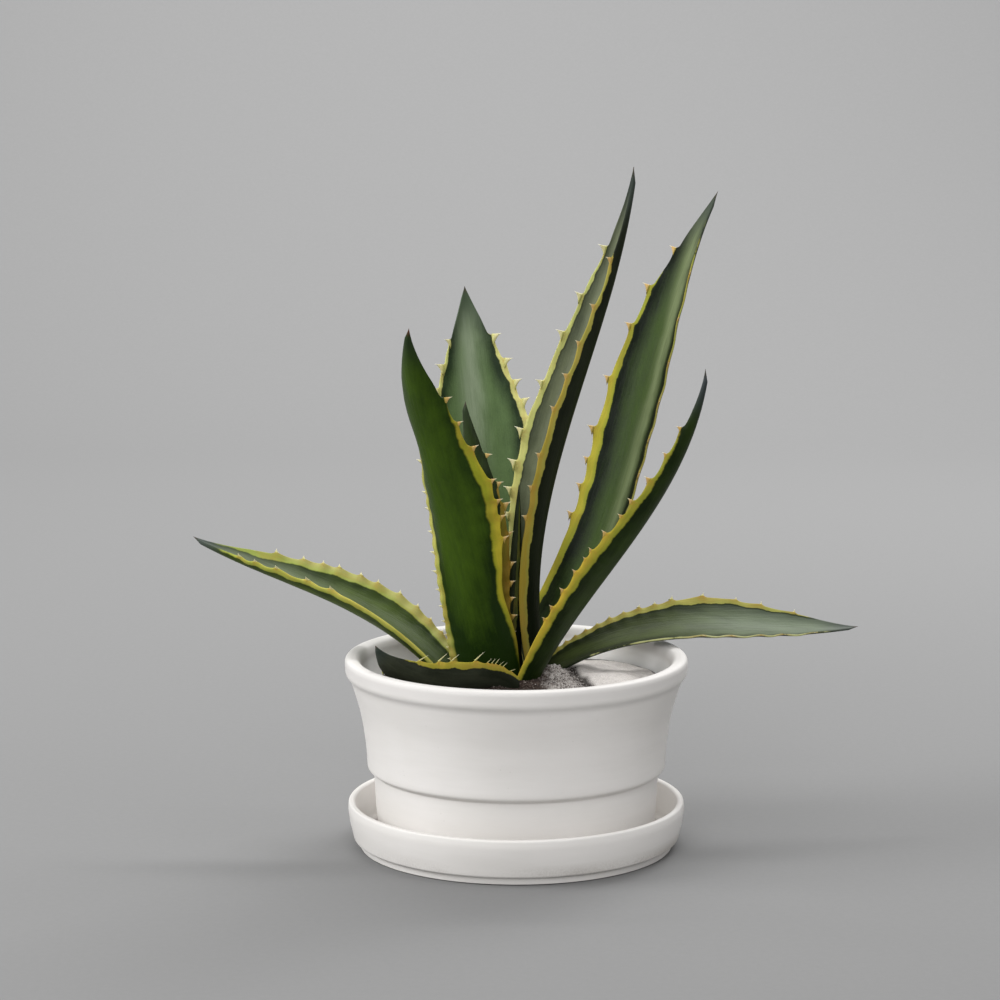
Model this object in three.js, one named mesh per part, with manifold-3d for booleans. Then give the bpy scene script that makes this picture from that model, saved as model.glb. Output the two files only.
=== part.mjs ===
// Potted agave with variegated leaves
//
// A round tapered pot stands in its saucer. The pot is filled with potting soil,
// and nine open leaves stand round the rolled central leaf of a young agave.
// Millimetres, +Z up. The origin is on the pot's axis at the saucer's underside.

import * as THREE from "three";
import { mergeVertices } from "three/addons/utils/BufferGeometryUtils.js";
import Module from "manifold-3d";

const wasm = await Module();
wasm.setup();

// Driving dimensions
const RIM_RADIUS = 100;
const RIM_TOP = 112.6;
const SAUCER_RADIUS = 98.5;
const SAUCER_RIM = 27.3;
const SAUCER_FLOOR = 6.5;
const POT_BASE = 6.9;
const POT_FLOOR = 14;
const DRAIN_RADIUS = 8;
const SOIL_EDGE = 95;
const SOIL_MOUND = 8;
const CLEARANCE = 0.35;
const ROUND_STEPS = 48;

const EDGE_THICKNESS = 0.9;
const TOOTH_LENGTH = 4.2;
const TOOTH_BACK = 5.5;
const TOOTH_FRONT = 1.7;
const SHOULDER = 0.5;
const SCALLOP = 1.1;
const FIRST_TOOTH = 0.09;
const LAST_TOOTH = 0.87;
const PATH_STEPS = 80;
const SPINE_START = 0.97;

// Leaves, from the inside of the rosette outwards
//
// foot: where the leaf's midline leaves the crown. rise: its slope in degrees near
// the foot, half way and at the tip. heading: its compass direction at the same
// three places, from +X towards +Y. twist: turn about the midline at foot and tip.
// fold: half angle of the channel. neck: width at the foot as a share of the full
// width. widest: where along the leaf it is widest. sunk: length below the foot.
const LEAVES = {
  leaf_inner_left: {
    foot: [-7, 7, 95], length: 168, rise: [77, 82, 87], heading: [191, 200, 192],
    twist: [5, 6], fold: 70, width: 44, taper: 1.3, thick: 5, neck: 0.53, widest: 0.58,
    sunk: 12, teeth: 7,
  },
  leaf_tall_centre: {
    foot: [13, 14, 95], length: 309, rise: [106, 71, 82], heading: [24, 24, 24],
    twist: [-15, 5], fold: 76, width: 50, taper: 1.2, thick: 7, neck: 0.7, widest: 0.48,
    sunk: 14, teeth: 11,
  },
  leaf_back: {
    foot: [-5, 22, 92], length: 241, rise: [71, 69, 74], heading: [110, 108, 111],
    twist: [-6, -1], fold: 24, width: 63, taper: 1.25, thick: 6, neck: 0.5, widest: 0.63,
    sunk: 14, teeth: 8,
  },
  leaf_tall_right: {
    foot: [-4, 28, 90], length: 320, rise: [41, 73, 57], heading: [25, 20, 27],
    twist: [23, 12], fold: 35, width: 53, taper: 1.2, thick: 6, neck: 0.58, widest: 0.62,
    sunk: 8, teeth: 11,
  },
  leaf_front_left: {
    foot: [-16, -5, 88], length: 245, rise: [78, 69, 50], heading: [-128, -132, -83],
    twist: [40, -39], fold: 41, width: 60, taper: 1.2, thick: 6, neck: 0.52, widest: 0.55,
    sunk: 14, teeth: 8,
  },
  leaf_front_right: {
    foot: [2, -2, 88], length: 230, rise: [66, 53, 83], heading: [-26, -24, -21],
    twist: [0, 4], fold: 60, width: 38, taper: 1.33, thick: 6, neck: 0.53, widest: 0.42,
    sunk: 10, teeth: 9,
  },
  leaf_arching_right: {
    foot: [9, 20, 92], length: 214, rise: [41, -1, 0], heading: [12, 17, 19],
    twist: [20, 30], fold: 34, width: 41, taper: 1.2, thick: 5, neck: 0.38, widest: 0.59,
    sunk: 8, teeth: 7,
  },
  leaf_low_left: {
    foot: [-29, 7, 85], length: 194, rise: [58, 21, 26], heading: [159, 166, 170],
    twist: [-5, -7], fold: 53, width: 48, taper: 1.45, thick: 6, neck: 0.57, widest: 0.42,
    sunk: 26, teeth: 8,
  },
  leaf_short_front: {
    foot: [3, -17, 103], length: 95, rise: [4, 7, 62], heading: [-163, -162, -163],
    twist: [50, 56], fold: 35, width: 27, taper: 1.5, thick: 4, neck: 0.6, widest: 0.36,
    sunk: 4, teeth: 5,
  },
};

// Materials
const skin = (colour, roughness) =>
  new THREE.MeshStandardMaterial({ color: colour, roughness, metalness: 0 });
const leafSkin = skin(0x3f5636, 0.5);
const heartSkin = skin(0x4c6040, 0.5);
const potSkin = skin(0xcfcbc2, 0.75);
const saucerSkin = skin(0xcac6bd, 0.75);
const soilSkin = skin(0x5c5048, 0.95);

// Closed meshes and solids
function toSolid(geometry) {
  const bare = geometry.clone();
  bare.deleteAttribute("normal");
  bare.deleteAttribute("uv");
  const merged = mergeVertices(bare, 1e-4);
  const vertProperties = new Float32Array(merged.attributes.position.array);
  const triVerts = new Uint32Array(merged.index.array);
  return new wasm.Manifold(new wasm.Mesh({ numProp: 3, vertProperties, triVerts }));
}

function toGeometry(solid) {
  const mesh = solid.getMesh();
  const geometry = new THREE.BufferGeometry();
  geometry.setAttribute("position", new THREE.BufferAttribute(mesh.vertProperties, 3));
  geometry.setIndex(new THREE.BufferAttribute(mesh.triVerts, 1));
  geometry.computeVertexNormals();
  return geometry;
}

function largestPiece(solid) {
  const pieces = solid.decompose();
  pieces.sort((a, b) => b.volume() - a.volume());
  return pieces[0];
}

// Turned solid about the Z axis, from [radius, height] pairs
function turned(profile, steps = ROUND_STEPS) {
  const points = profile.map(([r, z]) => new THREE.Vector2(r, z));
  const geometry = new THREE.LatheGeometry(points, steps);
  geometry.rotateX(Math.PI / 2);
  return geometry;
}

// Leaf midline and blade

// Value at t of the smooth curve through three values at 0, one half and 1
function through([a, b, c], t) {
  return a * (1 - t) * (1 - 2 * t) + 4 * b * t * (1 - t) + c * t * (2 * t - 1);
}

function direction(leaf, t) {
  const along = Math.min(1, Math.max(0, t));
  const rise = THREE.MathUtils.degToRad(through(leaf.rise, along));
  const heading = THREE.MathUtils.degToRad(through(leaf.heading, along));
  return new THREE.Vector3(
    Math.cos(rise) * Math.cos(heading),
    Math.cos(rise) * Math.sin(heading),
    Math.sin(rise),
  );
}

function midline(leaf) {
  const points = [new THREE.Vector3(...leaf.foot)];
  for (let i = 0; i < PATH_STEPS; i += 1) {
    const step = direction(leaf, (i + 0.5) / PATH_STEPS);
    step.multiplyScalar(leaf.length / PATH_STEPS);
    points.push(points[i].clone().add(step));
  }
  return points;
}

function pointAlong(leaf, points, t) {
  if (t <= 0) {
    return points[0].clone().addScaledVector(direction(leaf, 0), t * leaf.length);
  }
  const place = Math.min(t * PATH_STEPS, PATH_STEPS - 1e-9);
  const i = Math.floor(place);
  return points[i].clone().lerp(points[i + 1], place - i);
}

function halfWidth(leaf, t) {
  const share = Math.max(0, t) / leaf.widest;
  if (share < 1) {
    const swell = Math.sin((Math.PI / 2) * share) ** 1.5;
    return (leaf.width / 2) * (leaf.neck + (1 - leaf.neck) * swell);
  }
  const past = Math.min(1, (t - leaf.widest) / (1 - leaf.widest));
  return (leaf.width / 2) * (1 - past ** leaf.taper);
}

// Cross-section frame of the blade at t: along, sideways and upward directions
function frameAt(leaf, t) {
  const along = direction(leaf, t);
  const heading = THREE.MathUtils.degToRad(through(leaf.heading, Math.min(1, Math.max(0, t))));
  const level = new THREE.Vector3(-Math.sin(heading), Math.cos(heading), 0);
  const over = along.clone().cross(level);
  const turn = THREE.MathUtils.degToRad(
    leaf.twist[0] + (leaf.twist[1] - leaf.twist[0]) * Math.min(1, Math.max(0, t)),
  );
  const side = level.clone().multiplyScalar(Math.cos(turn)).addScaledVector(over, Math.sin(turn));
  const up = over.clone().multiplyScalar(Math.cos(turn)).addScaledVector(level, -Math.sin(turn));
  return { along, side, up };
}

// Places across the blade, from one margin (-1) to the other (+1)
const ACROSS_BROAD = [-1, -0.72, -0.37, 0, 0.37, 0.72, 1];
const ACROSS_NARROW = [-1, -0.57, 0, 0.57, 1];
const BROAD_FROM = 49;

function placesAcross(leaf) {
  return leaf.width < BROAD_FROM ? ACROSS_NARROW : ACROSS_BROAD;
}

// One ring round the blade. push moves both margins outwards by that length,
// grow makes the whole section larger.
function ring(leaf, points, t, push, grow) {
  const centre = pointAlong(leaf, points, t);
  const { side, up } = frameAt(leaf, t);
  const half = halfWidth(leaf, t) + grow;
  const fold = THREE.MathUtils.degToRad(leaf.fold) * Math.min(1, 0.55 + 0.9 * Math.max(0, t));
  const upper = [];
  const lower = [];
  for (const s of placesAcross(leaf)) {
    const angle = fold * s;
    const normal = up.clone().multiplyScalar(Math.cos(angle));
    normal.addScaledVector(side, -Math.sin(angle));
    const outward = side.clone().multiplyScalar(Math.cos(angle));
    outward.addScaledVector(up, Math.sin(angle));
    const point = centre.clone();
    point.addScaledVector(side, (half / fold) * Math.sin(angle));
    point.addScaledVector(up, (half / fold) * (1 - Math.cos(angle)));
    if (Math.abs(s) === 1) {
      point.addScaledVector(outward, s * push);
    }
    const body = (leaf.thick - EDGE_THICKNESS) * (1 - 0.75 * Math.max(0, t)) * (1 - s * s);
    upper.push(point.clone().addScaledVector(normal, grow));
    lower.push(point.clone().addScaledVector(normal, -EDGE_THICKNESS - body - grow));
  }
  return { upper, lower };
}

// Stations along the leaf: each tooth has its back, its point and its front, and the
// margin sinks in a shallow scallop between two teeth
function stations(leaf) {
  const list = [{ t: -leaf.sunk / leaf.length, push: 0 }, { t: 0, push: 0 }];
  const places = [];
  for (let i = 0; i < leaf.teeth; i += 1) {
    const share = i / (leaf.teeth - 1);
    places.push(FIRST_TOOTH + (LAST_TOOTH - FIRST_TOOTH) * share ** 1.15);
  }
  places.forEach((t, i) => {
    list.push({ t: t - TOOTH_BACK / leaf.length, push: SHOULDER });
    list.push({ t, push: TOOTH_LENGTH });
    list.push({ t: t + TOOTH_FRONT / leaf.length, push: SHOULDER });
    if (i < places.length - 1) {
      const front = t + TOOTH_FRONT / leaf.length;
      const nextBack = places[i + 1] - TOOTH_BACK / leaf.length;
      list.push({ t: (front + nextBack) / 2, push: -SCALLOP });
    }
  });
  list.push({ t: SPINE_START, push: 0 });
  return list;
}

// The blade as one closed mesh: both faces are split alike, the foot is capped and
// the blade runs out in one point, its end spine
function bladeSolid(leaf, grow = 0) {
  const points = midline(leaf);
  const rings = stations(leaf).map(({ t, push }) => ring(leaf, points, t, push, grow));
  const across = placesAcross(leaf).length;
  const perRing = 2 * across;
  const position = [];
  const index = [];
  for (const { upper, lower } of rings) {
    for (const point of [...upper, ...lower]) {
      position.push(point.x, point.y, point.z);
    }
  }
  const tip = pointAlong(leaf, points, 1).addScaledVector(direction(leaf, 1), grow);
  tip.addScaledVector(frameAt(leaf, 1).up, -EDGE_THICKNESS / 2);
  position.push(tip.x, tip.y, tip.z);
  const tipIndex = rings.length * perRing;
  const upperAt = (i, j) => i * perRing + j;
  const lowerAt = (i, j) => i * perRing + across + j;
  for (let i = 0; i < rings.length - 1; i += 1) {
    for (let j = 0; j < across - 1; j += 1) {
      index.push(upperAt(i, j), upperAt(i + 1, j), upperAt(i, j + 1));
      index.push(upperAt(i, j + 1), upperAt(i + 1, j), upperAt(i + 1, j + 1));
      index.push(lowerAt(i, j), lowerAt(i, j + 1), lowerAt(i + 1, j));
      index.push(lowerAt(i, j + 1), lowerAt(i + 1, j + 1), lowerAt(i + 1, j));
    }
    const end = across - 1;
    index.push(upperAt(i, 0), lowerAt(i, 0), upperAt(i + 1, 0));
    index.push(lowerAt(i, 0), lowerAt(i + 1, 0), upperAt(i + 1, 0));
    index.push(upperAt(i, end), upperAt(i + 1, end), lowerAt(i, end));
    index.push(lowerAt(i, end), upperAt(i + 1, end), lowerAt(i + 1, end));
  }
  const last = rings.length - 1;
  for (let j = 0; j < across - 1; j += 1) {
    index.push(upperAt(0, j), upperAt(0, j + 1), lowerAt(0, j));
    index.push(upperAt(0, j + 1), lowerAt(0, j + 1), lowerAt(0, j));
    index.push(upperAt(last, j), tipIndex, upperAt(last, j + 1));
    index.push(lowerAt(last, j), lowerAt(last, j + 1), tipIndex);
  }
  index.push(upperAt(last, 0), lowerAt(last, 0), tipIndex);
  index.push(upperAt(last, across - 1), tipIndex, lowerAt(last, across - 1));
  const geometry = new THREE.BufferGeometry();
  geometry.setAttribute("position", new THREE.Float32BufferAttribute(position, 3));
  geometry.setIndex(index);
  return toSolid(geometry);
}

// Heart: the short stem in the soil with the rolled central leaf on it
function heartSolid(grow = 0) {
  const profile = [
    [0, 62 - grow],
    [11 + grow, 62 - grow],
    [15 + grow, 70],
    [14 + grow, 86],
    [9 + grow, 98],
    [6 + grow, 112],
    [5 + grow, 140],
    [3.6 + grow, 170],
    [1.8 + grow, 196],
    [0, 211.6 + grow],
  ];
  const geometry = turned(profile, 16);
  const position = geometry.attributes.position;
  for (let i = 0; i < position.count; i += 1) {
    const lean = (position.getZ(i) - 95) / 116.6;
    position.setX(i, position.getX(i) - 3.5 + 5 * lean);
    position.setY(i, position.getY(i) + 9 + lean);
  }
  return toSolid(geometry);
}

// Pot: rolled lip, slightly flared body, a bevelled step low down and a foot ring
const potProfile = [
  [DRAIN_RADIUS, POT_BASE + 2],
  [68, POT_BASE + 2],
  [69, POT_BASE],
  [79.5, POT_BASE],
  [81, POT_BASE + 1.6],
  [83.2, 44],
  [87.2, 46.6],
  [87.7, 60],
  [90.3, 78.4],
  [95.6, 96],
  [98.6, 100],
  [RIM_RADIUS, 105],
  [98.9, 110.4],
  [95.4, RIM_TOP],
  [91.8, 111.8],
  [90.2, 108.6],
  [89.4, 99],
  [83, 72],
  [80, 46],
  [76, POT_FLOOR],
  [DRAIN_RADIUS, POT_FLOOR],
  [DRAIN_RADIUS, POT_BASE + 2],
];

// Saucer: flat underside, a small foot step, flaring wall and rounded rim
const saucerProfile = [
  [0, 0],
  [91.5, 0],
  [92, 4],
  [95.2, 5.4],
  [97.6, 16],
  [SAUCER_RADIUS, 23],
  [98, 26.4],
  [96.2, SAUCER_RIM],
  [94.6, 26.2],
  [93.4, 22],
  [90.6, SAUCER_FLOOR + 2],
  [88.4, SAUCER_FLOOR],
  [0, SAUCER_FLOOR],
];

// Soil: fills the pot to just below the lip and rises a little towards the plant
function soilHeight(x, y) {
  const distance = Math.hypot(x - 8, y - 14);
  const mound = SOIL_MOUND * Math.exp(-((distance / 40) ** 2));
  const lumps = 0.7 * Math.sin(x / 9 + 1) * Math.cos(y / 11) + 0.5 * Math.sin((x - y) / 6);
  return SOIL_EDGE + mound + lumps;
}

function soilSolid() {
  const inset = CLEARANCE;
  const profile = [
    [0, POT_FLOOR + inset],
    [76 - inset, POT_FLOOR + inset],
    [80 - inset, 46],
    [83 - inset, 72],
    [87.7 - inset, 92.5],
    [72, 99],
    [54, 99],
    [37, 99],
    [19, 99],
    [0, 99],
  ];
  const geometry = turned(profile, 40);
  const position = geometry.attributes.position;
  for (let i = 0; i < position.count; i += 1) {
    if (position.getZ(i) > 95) {
      position.setZ(i, soilHeight(position.getX(i), position.getY(i)));
    }
  }
  return toSolid(geometry);
}

// Assembly
const plant = new THREE.Group();
function add(name, solid, material) {
  const mesh = new THREE.Mesh(toGeometry(solid), material);
  mesh.name = name;
  plant.add(mesh);
}

add("saucer", toSolid(turned(saucerProfile)), saucerSkin);
add("pot", toSolid(turned(potProfile)), potSkin);

// Each leaf gives way to the heart and to every leaf that stands further in
const roomForHeart = heartSolid(CLEARANCE);
let occupied = roomForHeart;
add("heart", heartSolid(), heartSkin);
for (const [name, leaf] of Object.entries(LEAVES)) {
  const blade = largestPiece(bladeSolid(leaf).subtract(occupied));
  add(name, blade, leafSkin);
  occupied = occupied.add(bladeSolid(leaf, CLEARANCE));
}

add("soil", largestPiece(soilSolid().subtract(occupied)), soilSkin);

export default plant;
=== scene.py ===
import math

import bpy
import numpy as np
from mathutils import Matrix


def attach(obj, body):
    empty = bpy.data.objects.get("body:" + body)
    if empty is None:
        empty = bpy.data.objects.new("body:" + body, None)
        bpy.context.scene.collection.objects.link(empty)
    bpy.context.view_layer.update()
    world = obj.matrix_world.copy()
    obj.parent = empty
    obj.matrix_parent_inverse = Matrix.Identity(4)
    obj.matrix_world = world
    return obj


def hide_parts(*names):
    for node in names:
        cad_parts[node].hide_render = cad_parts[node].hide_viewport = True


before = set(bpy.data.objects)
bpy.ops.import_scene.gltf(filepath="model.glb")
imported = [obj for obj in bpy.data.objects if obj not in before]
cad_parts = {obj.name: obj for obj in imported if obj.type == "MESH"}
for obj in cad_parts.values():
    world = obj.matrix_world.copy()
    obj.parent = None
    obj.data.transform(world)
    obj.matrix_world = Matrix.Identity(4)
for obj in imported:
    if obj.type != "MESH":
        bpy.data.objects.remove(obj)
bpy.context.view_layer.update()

MM = 0.001

# ---------------------------------------------------------------- sizes in millimetres

# The blades: their edge, the least half of their width, the share of their thickness that is
# left at the tip, and how far a tooth's swelling runs into the band; then the steps of a leaf's
# path, the distance between the rings of points along it, the place of the last ring and the
# columns across each face.
EDGE_THICKNESS = 0.9
EDGE_ROUNDING = 0.45
NARROWEST = 0.12
TIP_THINNESS = 0.12
SWELLING_DEPTH = 2.2
PATH_STEPS = 80
STATION_GAP = 0.75
LAST_RING = 0.9995
FACE_COLUMNS = 30

# Where teeth are not placed one by one, they stand from the first to the last place, closer
# together near the foot. Each tooth sits on a bump of the margin, which rises slowly toward it
# and falls quickly past it, with a shallow valley between. The margins also ruffle and sway.
FIRST_TOOTH = 0.09
LAST_TOOTH = 0.85
TOOTH_CROWDING = 1.55
BUMP_HEIGHT = 1.25
BUMP_BACK = 4.6
BUMP_FRONT = 1.3
BUMP_VALLEY = 0.45
RUFFLE = 0.55
SWAY = 0.35

# The rolled middle leaf: its outline as radius and height, the height where its markings begin
# and how far they run, its tip, the points in a ring, how its seam turns in degrees and over
# what heights, how much the free edge is wound in, and where its middle line starts and how far
# that line leans by the tip.
HEART_OUTLINE = [(11, 62), (15, 70), (14, 86), (9, 98), (6, 112), (5, 140), (3.6, 170),
                 (1.8, 196), (0.12, 211.3)]
HEART_START = 95
HEART_RUN = 116.6
HEART_TIP = 211.6
HEART_STEPS = 56
SEAM_START, SEAM_TURN = -96, 34
SEAM_LOW, SEAM_REACH = 130, 80
WOUND_IN = 0.2
HEART_FOOT = (-3.5, 9)
HEART_LEAN = (5, 1)

# Pot and saucer: radius, height and rounding of each corner of the outline.
POT_CORNERS = [
    (8, 8.9, 0.4), (68, 8.9, 1.5), (69, 6.9, 0.5), (79.5, 6.9, 0.8), (81, 8.5, 0.8),
    (83.3, 44.6, 0.9), (84.0, 45.4, 0.6), (87.0, 47.2, 2.6), (87.7, 60, 12), (90.3, 78.4, 12),
    (94.6, 93, 8), (96.6, 99.6, 2.6), (99.6, 103.0, 2.8), (99.9, 110.0, 1.2), (99.2, 112.0, 1.6),
    (96.6, 112.7, 1.6), (92.2, 112.0, 2.4), (90.2, 108.2, 3.0), (89.4, 99, 8), (83, 72, 18),
    (80, 46, 18), (76, 14, 3.5), (8, 14, 0.4)]
SAUCER_CORNERS = [
    (91.5, 0, 1.0), (92, 4, 0.6), (95.2, 5.4, 1.0), (97.6, 16, 6), (98.5, 23, 3),
    (98.1, 26.6, 0.8), (97.4, 27.3, 0.3), (95.4, 27.3, 0.4), (94.4, 26.6, 0.8), (93.4, 22, 3),
    (90.6, 8.5, 2.6), (88.4, 6.5, 1.2)]
SAUCER_FLOOR = 6.5
TURNING_STEPS = 224

# The middle of the pot's wall, as its radius at the ground and how fast it widens upward, which
# marks off the inside that gets painted light, and the heights where the painted shade round the
# lip starts and where it is full.
WALL_RADIUS = 73.1
WALL_SLOPE = 0.189
LIP_SHADE_START = 103.0
LIP_SHADE_FULL = 107.5

# The soil: its level away from the plant, the mound round the plant, where it settles toward the
# wall and its level there, its widest ring, and the rings below, clear of the pot.
SOIL_LEVEL = 95
SOIL_MOUND = 8
SOIL_SETTLES = 72
SOIL_AT_WALL = 92.5
SOIL_RADIUS = 87.35
SOIL_STEPS = 300
CLEARANCE = 0.35
SOIL_BASE = 14 + CLEARANCE
SOIL_SKIRT = [(83 - CLEARANCE, 72), (80 - CLEARANCE, 46), (76 - CLEARANCE, SOIL_BASE)]

# The sand: how much higher it lies at the right wall, the height of its dune, and the depth of
# the crease beside the dune, with a point on the crease and the way across it.
SAND_AT_WALL = 3.2
DUNE_HEIGHT = 2.6
CREASE_DEPTH = 2.6
CREASE_POINT = (41.5, -13.3)
CREASE_ACROSS = (0.981, 0.195)

# Each leaf: foot in millimetres, rise and heading in degrees at foot, middle and tip, twist in
# degrees at foot and tip, fold as half the angle of its channel. Neck is the share of the width
# at the foot, widest the place of the full width, and taper how late it narrows past that. Slim
# is how much slimmer the tip is, past slim_from. Sunk is how far the blade goes on below its
# foot, and tuck how much lower the foot lies. Places along a leaf are 0 at foot and 1 at tip.
# The margins are called low and high, for the two ends of the way across a blade. A band is the
# width of the pale margin at six even places; where it is below nought there is none. Teeth is
# how many stand on the low and the high margin, closer near the foot by the amount crowding.
# Low_teeth and high_teeth are the places of single teeth instead, with smaller ones added below.
# In the same way, wavy and size tell how strong a margin's waves and teeth are, calm up to
# where both are weaker and by what share, draw how far that half is drawn in toward the middle,
# flare how far the margin is rolled back, and tilt how far its teeth lean off the inner face.
LEAVES = {
    "leaf_inner_left": dict(
        foot=(-7, 7, 95), length=168, rise=(77, 82, 87), heading=(191, 200, 192), twist=(5, 6),
        fold=70, width=44, taper=1.3, thick=5, neck=0.53, widest=0.58, sunk=12, teeth=(12, 13),
        low_band=(4, 5, 5, 3, -1, -3), high_band=(5, 6, 6, 3, -2, -4), seed=1,
        high_teeth=(0.245, 0.308, 0.365, 0.432, 0.538, 0.64, 0.715, 0.815)),
    "leaf_tall_centre": dict(
        foot=(13, 14, 95), length=309, rise=(106, 71, 82), heading=(24, 24, 24), twist=(-15, 5),
        fold=76, width=50, taper=1.2, thick=7, neck=0.7, widest=0.48, sunk=14, teeth=(14, 13),
        low_band=(2.5, 4.5, 4.0, 2.6, 1, -6), high_band=(3, 4.2, 4.6, 3.0, 1.4, -6), seed=2,
        slim=0.65, slim_from=0.78, low_wavy=0.5, low_calm=(0.3, 0.0),
        low_draw=((0, 6), (0.12, 5), (0.25, 3), (0.4, 0), (1, 0)), high_size=1.2,
        high_teeth=(0.355, 0.405, 0.465, 0.562, 0.662, 0.74, 0.84),
        low_teeth=(0.272, 0.318, 0.372, 0.432, 0.52, 0.585, 0.65, 0.725, 0.82)),
    "leaf_back": dict(
        foot=(-5, 22, 92), length=241, rise=(71, 69, 74), heading=(110, 108, 111), twist=(-6, -1),
        fold=24, width=63, taper=1.25, thick=6, neck=0.5, widest=0.63, sunk=14, teeth=(17, 17),
        crowding=1.3, low_band=(5, 6, 6, 5, 3.2, -5), high_band=(5.5, 5, 4, 3.2, 2.2, -5), seed=3,
        low_wavy=1.7, high_wavy=1.3, low_size=1.3, high_size=1.2,
        low_teeth=(0.698, 0.748, 0.805, 0.868), high_teeth=(0.795, 0.86)),
    "leaf_tall_right": dict(
        foot=(-4, 28, 90), length=320, rise=(41, 73, 57), heading=(25, 20, 27), twist=(23, 12),
        fold=35, width=53, taper=1.2, thick=6, neck=0.58, widest=0.62, sunk=8, teeth=(14, 13),
        low_band=(1.2, 1.3, 1.3, 1.2, 1, -1), high_band=(2, 3.5, 6.5, 5, 1.5, -6), seed=4,
        slim=0.4, high_wavy=1.4, high_calm=(0.335, 0.0), low_size=0.7,
        low_draw=((0, 7), (0.16, 7), (0.24, 4), (0.3, 0), (1, 0)),
        high_draw=((0, -3), (0.2, -3), (0.36, 0), (1, 0)),
        high_teeth=(0.342, 0.40, 0.452, 0.512, 0.61, 0.715, 0.792, 0.872)),
    "leaf_front_left": dict(
        foot=(-16, -5, 88), length=245, rise=(78, 69, 50), heading=(-128, -132, -83),
        twist=(40, -39), fold=41, width=60, taper=1.2, thick=6, neck=0.52, widest=0.55, sunk=14,
        teeth=(16, 16), low_band=(3.5, 5.5, 7, 8.5, -1, -6), high_band=(-1, 3, 6, 5.6, -1, -6),
        seed=5, slim=0.4, high_wavy=1.5, high_calm=(0.39, 0.0),
        high_teeth=(0.40, 0.458, 0.502, 0.558, 0.65, 0.722, 0.792),
        low_teeth=(0.41, 0.465, 0.505, 0.585), low_tilt=0.9,
        low_draw=((0, -2), (0.1, -2), (0.2, 0), (0.33, 4), (0.43, 7.5), (0.52, 8.5), (0.6, 10.5),
                  (0.65, 9.5), (0.7, 3.5), (0.74, 0), (1, 0)),
        low_flare=((0, 0), (0.12, 1), (0.3, 3.2), (0.42, 4.4), (0.62, 4.4), (0.68, 2.2),
                   (0.74, 0), (1, 0)),
        high_draw=((0, -4.5), (0.06, -4), (0.147, -2.8), (0.186, -0.2), (0.222, 2.4),
                   (0.265, 5.2), (0.337, 3), (0.415, 0.5), (0.49, -2.3), (0.56, -2), (0.63, 0),
                   (1, 0))),
    "leaf_front_right": dict(
        foot=(2, -2, 88), length=230, rise=(66, 53, 83), heading=(-26, -24, -21), twist=(0, 4),
        fold=60, width=38, taper=1.33, thick=6, neck=0.53, widest=0.42, sunk=10, teeth=(17, 16),
        low_band=(1.4, 3.4, 4.6, 3.8, 1, -6), high_band=(-3, -2, 1, 3, 2, -3), seed=6, slim=0.5,
        low_size=0.8, high_size=0.6, high_wavy=0.7, low_calm=(0.23, 0.0), high_calm=(0.4, 0.0),
        low_teeth=(0.24, 0.278, 0.332, 0.392, 0.435, 0.462, 0.518, 0.578, 0.625, 0.695, 0.77,
                   0.845)),
    "leaf_arching_right": dict(
        foot=(9, 20, 92), length=214, rise=(41, -1, 0), heading=(12, 17, 19), twist=(20, 30),
        fold=34, width=41, taper=1.2, thick=5, neck=0.38, widest=0.59, sunk=8, teeth=(13, 14),
        low_band=(-1.5, -0.4, 0.7, 0.8, 0.6, -1), high_band=(2, 3.2, 4.2, 3.8, 1.8, -4), seed=7,
        low_size=0.3, low_wavy=0.15, low_calm=(0.42, 0.0), high_size=0.6, high_wavy=0.9, slim=0.3,
        high_teeth=(0.32, 0.365, 0.41, 0.46, 0.55, 0.645, 0.718, 0.815)),
    "leaf_low_left": dict(
        foot=(-29, 7, 85), length=194, rise=(58, 21, 26), heading=(159, 166, 170), twist=(-5, -7),
        fold=53, width=48, taper=1.45, thick=6, neck=0.57, widest=0.42, sunk=26, teeth=(15, 15),
        low_band=(5, 6, 6, 5.5, 4, -2), high_band=(2.4, 2.8, 3.2, 3.2, 2.5, -2), seed=8,
        low_size=0.55, low_wavy=0.9, high_size=0.7, high_calm=(0.5, 0.0),
        high_teeth=(0.52, 0.602, 0.708, 0.782, 0.838), slim=0.3,
        low_teeth=(0.252, 0.305, 0.368, 0.438, 0.492, 0.56, 0.608, 0.668, 0.752)),
    "leaf_short_front": dict(
        foot=(3, -17, 103), length=95, rise=(4, 7, 62), heading=(-163, -162, -163),
        twist=(50, 56), fold=35, width=27, taper=1.9, thick=4, neck=0.6, widest=0.36, sunk=-3,
        teeth=(8, 8), low_band=(2, 2, 2, 1, 0, -2), high_band=(1.2, 3.2, 3.6, 2.8, 0, -4), seed=9,
        tuck=9,
        low_draw=((0, 0), (0.5, 0), (0.72, -3.2), (0.85, -3.8), (0.94, -1.4), (1, 0)),
        high_teeth=(0.13, 0.152, 0.178, 0.202, 0.23, 0.31, 0.47, 0.56, 0.7)),
}


def paint(red, green, blue):
    """A colour given as it looks on a screen, 0 to 255, made linear."""
    parts = []
    for value in (red, green, blue):
        share = value / 255
        parts.append(share / 12.92 if share <= 0.04045 else ((share + 0.055) / 1.055) ** 2.4)
    return (*parts, 1.0)
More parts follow.
